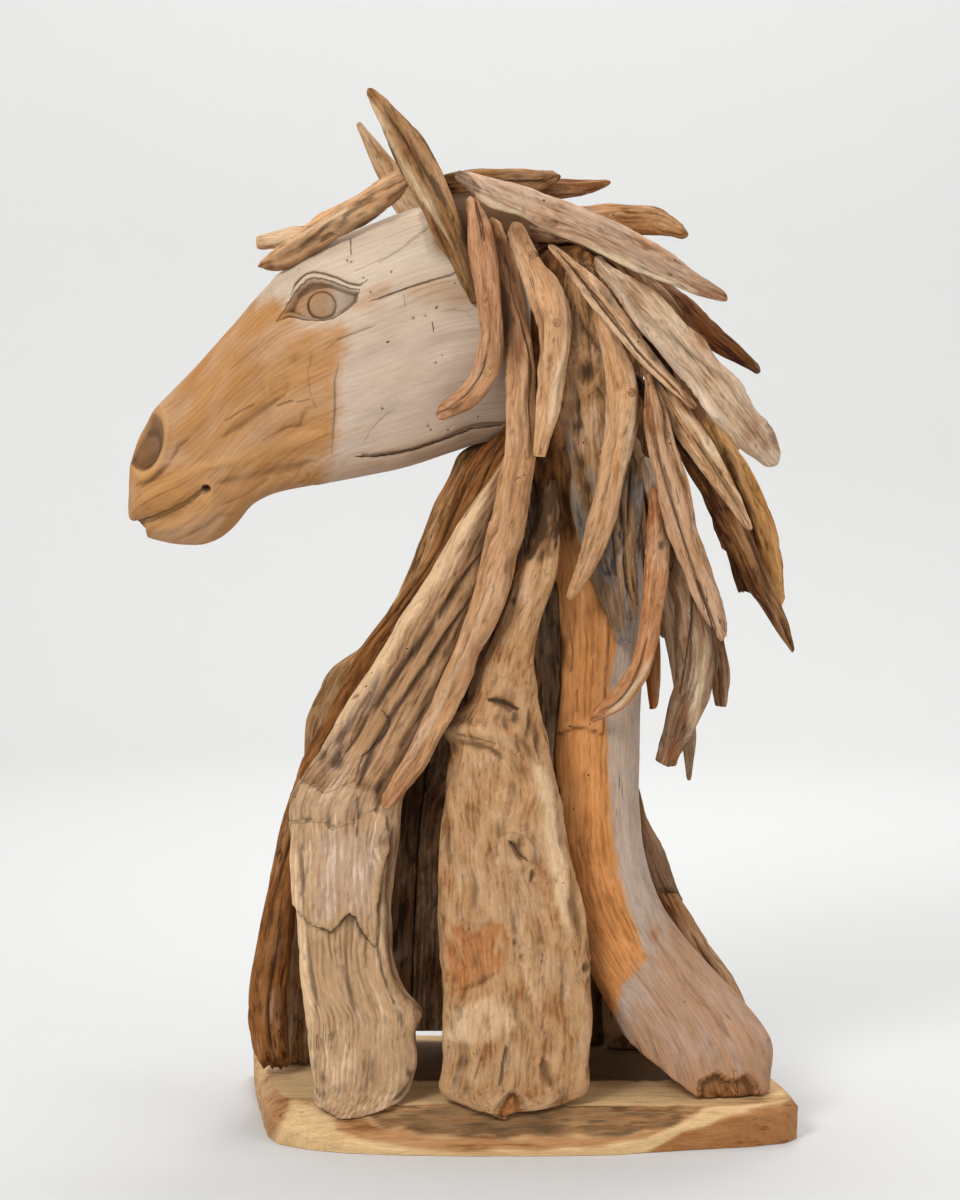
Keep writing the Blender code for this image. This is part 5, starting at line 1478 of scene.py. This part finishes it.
def carve_muzzle(log):
    """Nostrils, lips and the drilled end of the mouth, on both sides."""
    x, _, z = np.moveaxis(log.plain, -1, 0)
    u, v = turned(x, z, NOSTRIL, -12.0)
    u, v = u / 16.5, v / 30.0
    u = np.where(u < 0, u * 0.6, u)
    side = ease(np.abs(log.facing), 0.03, 0.35)
    away = np.sqrt(u * u + v * v)
    hollow = ease(1.0 - away, -0.03, 0.42) * side
    log.offset -= 12.0 * hollow
    rim = np.exp(-((away - 1.17) / 0.15) ** 2) * side
    log.offset += 2.4 * rim * ease(u, -0.9, 0.2)
    # Painted shade in the nostril hollow, deepest towards its upper rear
    log.shade(0.70 * ease(1.0 - away, -0.02, 0.08) * side,
              0.72 * hollow * ease(u + 0.7 * v, 0.1, 0.9) * ease(away, 0.3, 0.8))
    for points, width, rise, taper in MUZZLE_FOLDS:
        log.offset += rise * log.stroke(points, width, 0, taper)
    for points, width, dark, taper in MUZZLE_SHADES:
        log.shade(dark * log.stroke(points, width, 0, taper))
    below = np.clip(598.0 - z, 0.0, 14.0) * ease(-366.0 - x, 0.0, 2.5)
    log.shift -= 0.9 * below
    bore = ease(4.3 - np.hypot(x + 303.5, z - 627), -0.7, 0.7)
    log.offset -= 9.0 * bore
    log.shade(bore)


def head():
    """Carved head."""
    line, normals = head_planes()

    def stations(length):
        """Rings along the head, closest at the eye."""
        zones = ((0.0, 100.0, 1.4), (100.0, 205.0, 2.4), (205.0, 297.0, 0.95), (297.0, length, 2.4))
        return np.append(np.concatenate([np.arange(*zone) for zone in zones]), length)

    def density(angle):
        """How much closer the points of a ring stand, closest at the eyes."""
        return 1.0 + 1.7 * np.exp(-((np.minimum(angle, math.tau - angle) - EYE_TURN) / 0.26) ** 2)

    log = Log("head", line, normals, NEAR, (2.3, 2.0), (2.6, 1.8), density, carved_parts, stations)
    log.soften_from(30.0, 7.0, 5.0)
    log.offset += 1.5 * log.grained(34.0, 70.0, 2, 2)
    front = ease(-log.inside(WASHED, side=0), -4.0, 14.0)
    log.offset += 0.5 * log.grained(15.0, 110.0, 4, 2) * front
    log.offset += 0.12 * log.grained(3.5, 60.0, 6, 2)
    inner = carve_eye(log)
    carve_muzzle(log)
    wobble = 2.5 * log.grained(16.0, 22.0, 8, 3)
    washed = ease(log.inside(WASHED, side=0) + 2.0 * wobble, -7.0, 12.0)
    tan = np.maximum(log.stroke(((-160, 800), (-140, 814), (-118, 830)), 9.0),
                     log.stroke(((-116, 818), (-74, 824), (-35, 808)), 12.0))
    x, _, z = np.moveaxis(log.plain, -1, 0)
    low = np.exp(-((z - 640 - 0.26 * (x + 180)) / 16.0) ** 2)
    washed *= 1.0 - 0.5 * tan - 0.3 * np.clip(low, 0.0, 1.0)
    washed *= 1.0 - 0.85 * inner * ease(-x, 168.0, 188.0)
    log.pale = washed
    log.offset -= 0.8 * log.stroke(WASHED_EDGE, 1.6, 0, 0.2)
    log.shade(0.32 * log.stroke(WASHED_EDGE, 1.5, 0, 0.2))
    for points, width, depth, _ in HEAD_CRACKS:
        log.offset -= depth * log.stroke(points, max(width, 1.5), 1, 0.12)
    for hole in HEAD_HOLES:
        log.offset -= 1.2 * log.spot(*hole, 1.7, 1.7)
    rear = log.length - 60.0
    log.shift -= 27.0 * ease(log.reach, rear, log.length)[:, None]
    # The rear of the top is raised and painted dark, with its pale taken off: painted shade where it
    # lies behind the mane sticks
    hidden = ease(log.reach, rear, log.length - 46.0)[:, None] * ease(z, 845.0, 865.0)
    log.offset += 7.0 * hidden
    log.shade(hidden)
    log.pale *= 1.0 - hidden
    bleached = ease(log.grained(34.0, 60.0, 61, 2), -0.1, 0.6) * (1.0 - log.pale)
    log.pale += 0.20 * bleached
    log.dark += 0.14 * ease(log.grained(26.0, 70.0, 63, 3), 0.0, 0.6)
    log.red = log.pale * ease(z - 0.35 * x, 800.0, 900.0) * 0.6
    lines = [(points, width, dark, 1) for points, width, _, dark in HEAD_CRACKS]
    lines += [((hole,), 1.7, 0.95, 1) for hole in HEAD_HOLES]
    # Painted shade: dark lines along the brow crease, the lids and the mouth groove on both sides; the
    # washed edge line is the border of the pale colour
    lines += [(BROW, 1.8, 0.6, 0), (UPPER_LID, 2.0, 0.75, 0), (LOWER_LID, 1.6, 0.65, 0),
              (WASHED_EDGE, 1.5, 0.3, 0), (MOUTH, 1.8, 0.55, 0)]
    finish = {"light": (201, 151, 98), "middle": (180, 130, 80), "dark": (148, 98, 54),
              "pale": (196, 174, 154), "weathering": 0.12, "holes": 0.06, "checks": 0.3,
              "waviness": 1.6, "contrast": 0.36, "curl": 0.5, "bump": 0.4, "red": (208, 188, 164),
              "warmth": 0.0, "lines": lines}
    return place_wood(log, finish, 2)


# Plugs: host piece, x and z; then the radius, rise and dark of each ring of points
PEGS = (("mane_cheek_hook", -28, 742), ("mane_short_cut", 15, 853), ("mane_short_cut", 38, 788),
        ("mane_curved_light", 109, 722), ("mane_neck_long", 2, 638), ("mane_red_hook", 138, 522))
PEG_SIDES = 28
PEG_RINGS = ((1.4, 0.35, 0.0), (2.8, 0.35, 0.0), (3.9, 0.30, 0.05), (4.4, 0.05, 0.75),
             (4.7, -0.8, 0.9), (4.5, -4.0, 0.9))
BACKDROP_SIDES = 96


def circle(sides):
    """Angles of the points of a ring."""
    return [math.tau * i / sides for i in range(sides)]


def tube(rings, sides, first=0):
    """Faces between neighbouring rings of points, which start at a point number."""
    faces = []
    for ring in range(first, first + (rings - 1) * sides, sides):
        for i in range(sides):
            a, b = ring + i, ring + (i + 1) % sides
            faces.append((a, a + sides, b + sides, b))
    return faces


def peg(number, host, x, z):
    """End of a wooden plug in its hole, level with the wood around it."""
    mesh = bpy.data.objects[host + "_wood"].data
    tree = BVHTree.FromPolygons([vertex.co / MM for vertex in mesh.vertices],
                                [face.vertices[:] for face in mesh.polygons])
    spot, normal, _, _ = tree.ray_cast(Vector((x, -600.0, z)), Vector((0.0, 1.0, 0.0)))
    if normal.y > 0:
        normal = -normal
    beside = normal.cross(Vector((0.0, 0.0, 1.0))).normalized()
    above = beside.cross(normal)
    points = []
    marks = []
    for radius, rise, dark in PEG_RINGS:
        for turn in circle(PEG_SIDES):
            away = (beside * math.cos(turn) + above * math.sin(turn)) * radius
            hit = tree.ray_cast(spot + away + normal * 8.0, -normal)[0] or spot + away
            points.append(hit + normal * rise)
            marks.append((dark, 0.0, 0.0, 0.4))
    faces = tube(len(PEG_RINGS), PEG_SIDES)
    faces.append(tuple(range(PEG_SIDES)))
    faces.append(tuple(range(len(points) - 1, len(points) - PEG_SIDES - 1, -1)))
    points = np.array(points)
    wood_at = np.stack(((points - spot) @ np.array(beside), (points - spot) @ np.array(above),
                        0.1 * points[:, 1]), axis=1)
    name = "peg_" + str(number)
    piece = make_mesh(name, points, faces, wood_at, np.array(marks), np.zeros(len(points)))
    finish = {"light": (206, 164, 122), "middle": (188, 144, 102), "dark": (150, 108, 72), "holes": 0.0,
              "rings": 0.03, "ring_width": 2.6}
    piece.data.materials.append(wood_finish(name, seed=number, **finish))
    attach(piece, "root")


def stage():
    """Pale seamless floor and backdrop, soft light and the camera."""
    scene = bpy.context.scene
    points = [(0.0, 0.0, 0.0)]
    flat = BACKDROP_RADIUS - BACKDROP_CURVE
    profile = [(1.6, 0.0), (flat, 0.0)]
    for i in range(1, 13):
        angle = math.pi / 2 * i / 12
        profile.append((flat + BACKDROP_CURVE * math.sin(angle),
                        BACKDROP_CURVE - BACKDROP_CURVE * math.cos(angle)))
    profile.append((BACKDROP_RADIUS, BACKDROP_HEIGHT))
    for radius, z in profile:
        for turn in circle(BACKDROP_SIDES):
            points.append((radius * math.cos(turn), radius * math.sin(turn), z))
    faces = [(0, 1 + i, 1 + (i + 1) % BACKDROP_SIDES) for i in range(BACKDROP_SIDES)]
    faces += tube(len(profile), BACKDROP_SIDES, 1)
    mesh = bpy.data.meshes.new("backdrop")
    mesh.from_pydata(points, [], faces)
    mesh.shade_smooth()
    sweep = bpy.data.objects.new("backdrop", mesh)
    scene.collection.objects.link(sweep)
    paper = bpy.data.materials.new("backdrop")
    paper.use_nodes = True
    shader = paper.node_tree.nodes["Principled BSDF"]
    shader.inputs["Base Color"].default_value = BACKDROP_TONE
    shader.inputs["Roughness"].default_value = 0.9
    mesh.materials.append(paper)
    world = bpy.data.worlds.new("studio")
    world.use_nodes = True
    sky = world.node_tree.nodes["Background"].inputs
    sky["Color"].default_value = (1.0, 1.0, 1.0, 1.0)
    sky["Strength"].default_value = AMBIENT
    scene.world = world
    for name, place, target, size, power in LAMPS:
        lamp = bpy.data.lights.new(name, "AREA")
        lamp.shape = "DISK"
        lamp.size = size
        lamp.energy = power
        light = bpy.data.objects.new(name, lamp)
        light.location = place
        light.visible_camera = False
        light.rotation_euler = (Vector(target) - Vector(place)).to_track_quat("-Z", "Y").to_euler()
        scene.collection.objects.link(light)
    lens = bpy.data.cameras.new("camera")
    lens.sensor_width = 36.0
    lens.lens = CAMERA_LENS
    camera = bpy.data.objects.new("camera", lens)
    camera.location = Vector(CAMERA_PLACE) * MM
    camera.rotation_euler = (math.radians(90.0 - CAMERA_TILT), 0.0, 0.0)
    scene.collection.objects.link(camera)
    scene.camera = camera
    scene.view_settings.view_transform = "Standard"


NEIGHBOURS = whole_wood(SLOTS)

stage()
slab()
head()
for number, piece_name in enumerate(sorted(WOODS), start=5):
    grown_wood(piece_name, number)
for number, (host_name, peg_x, peg_z) in enumerate(PEGS, start=1):
    peg(number, host_name, peg_x, peg_z)
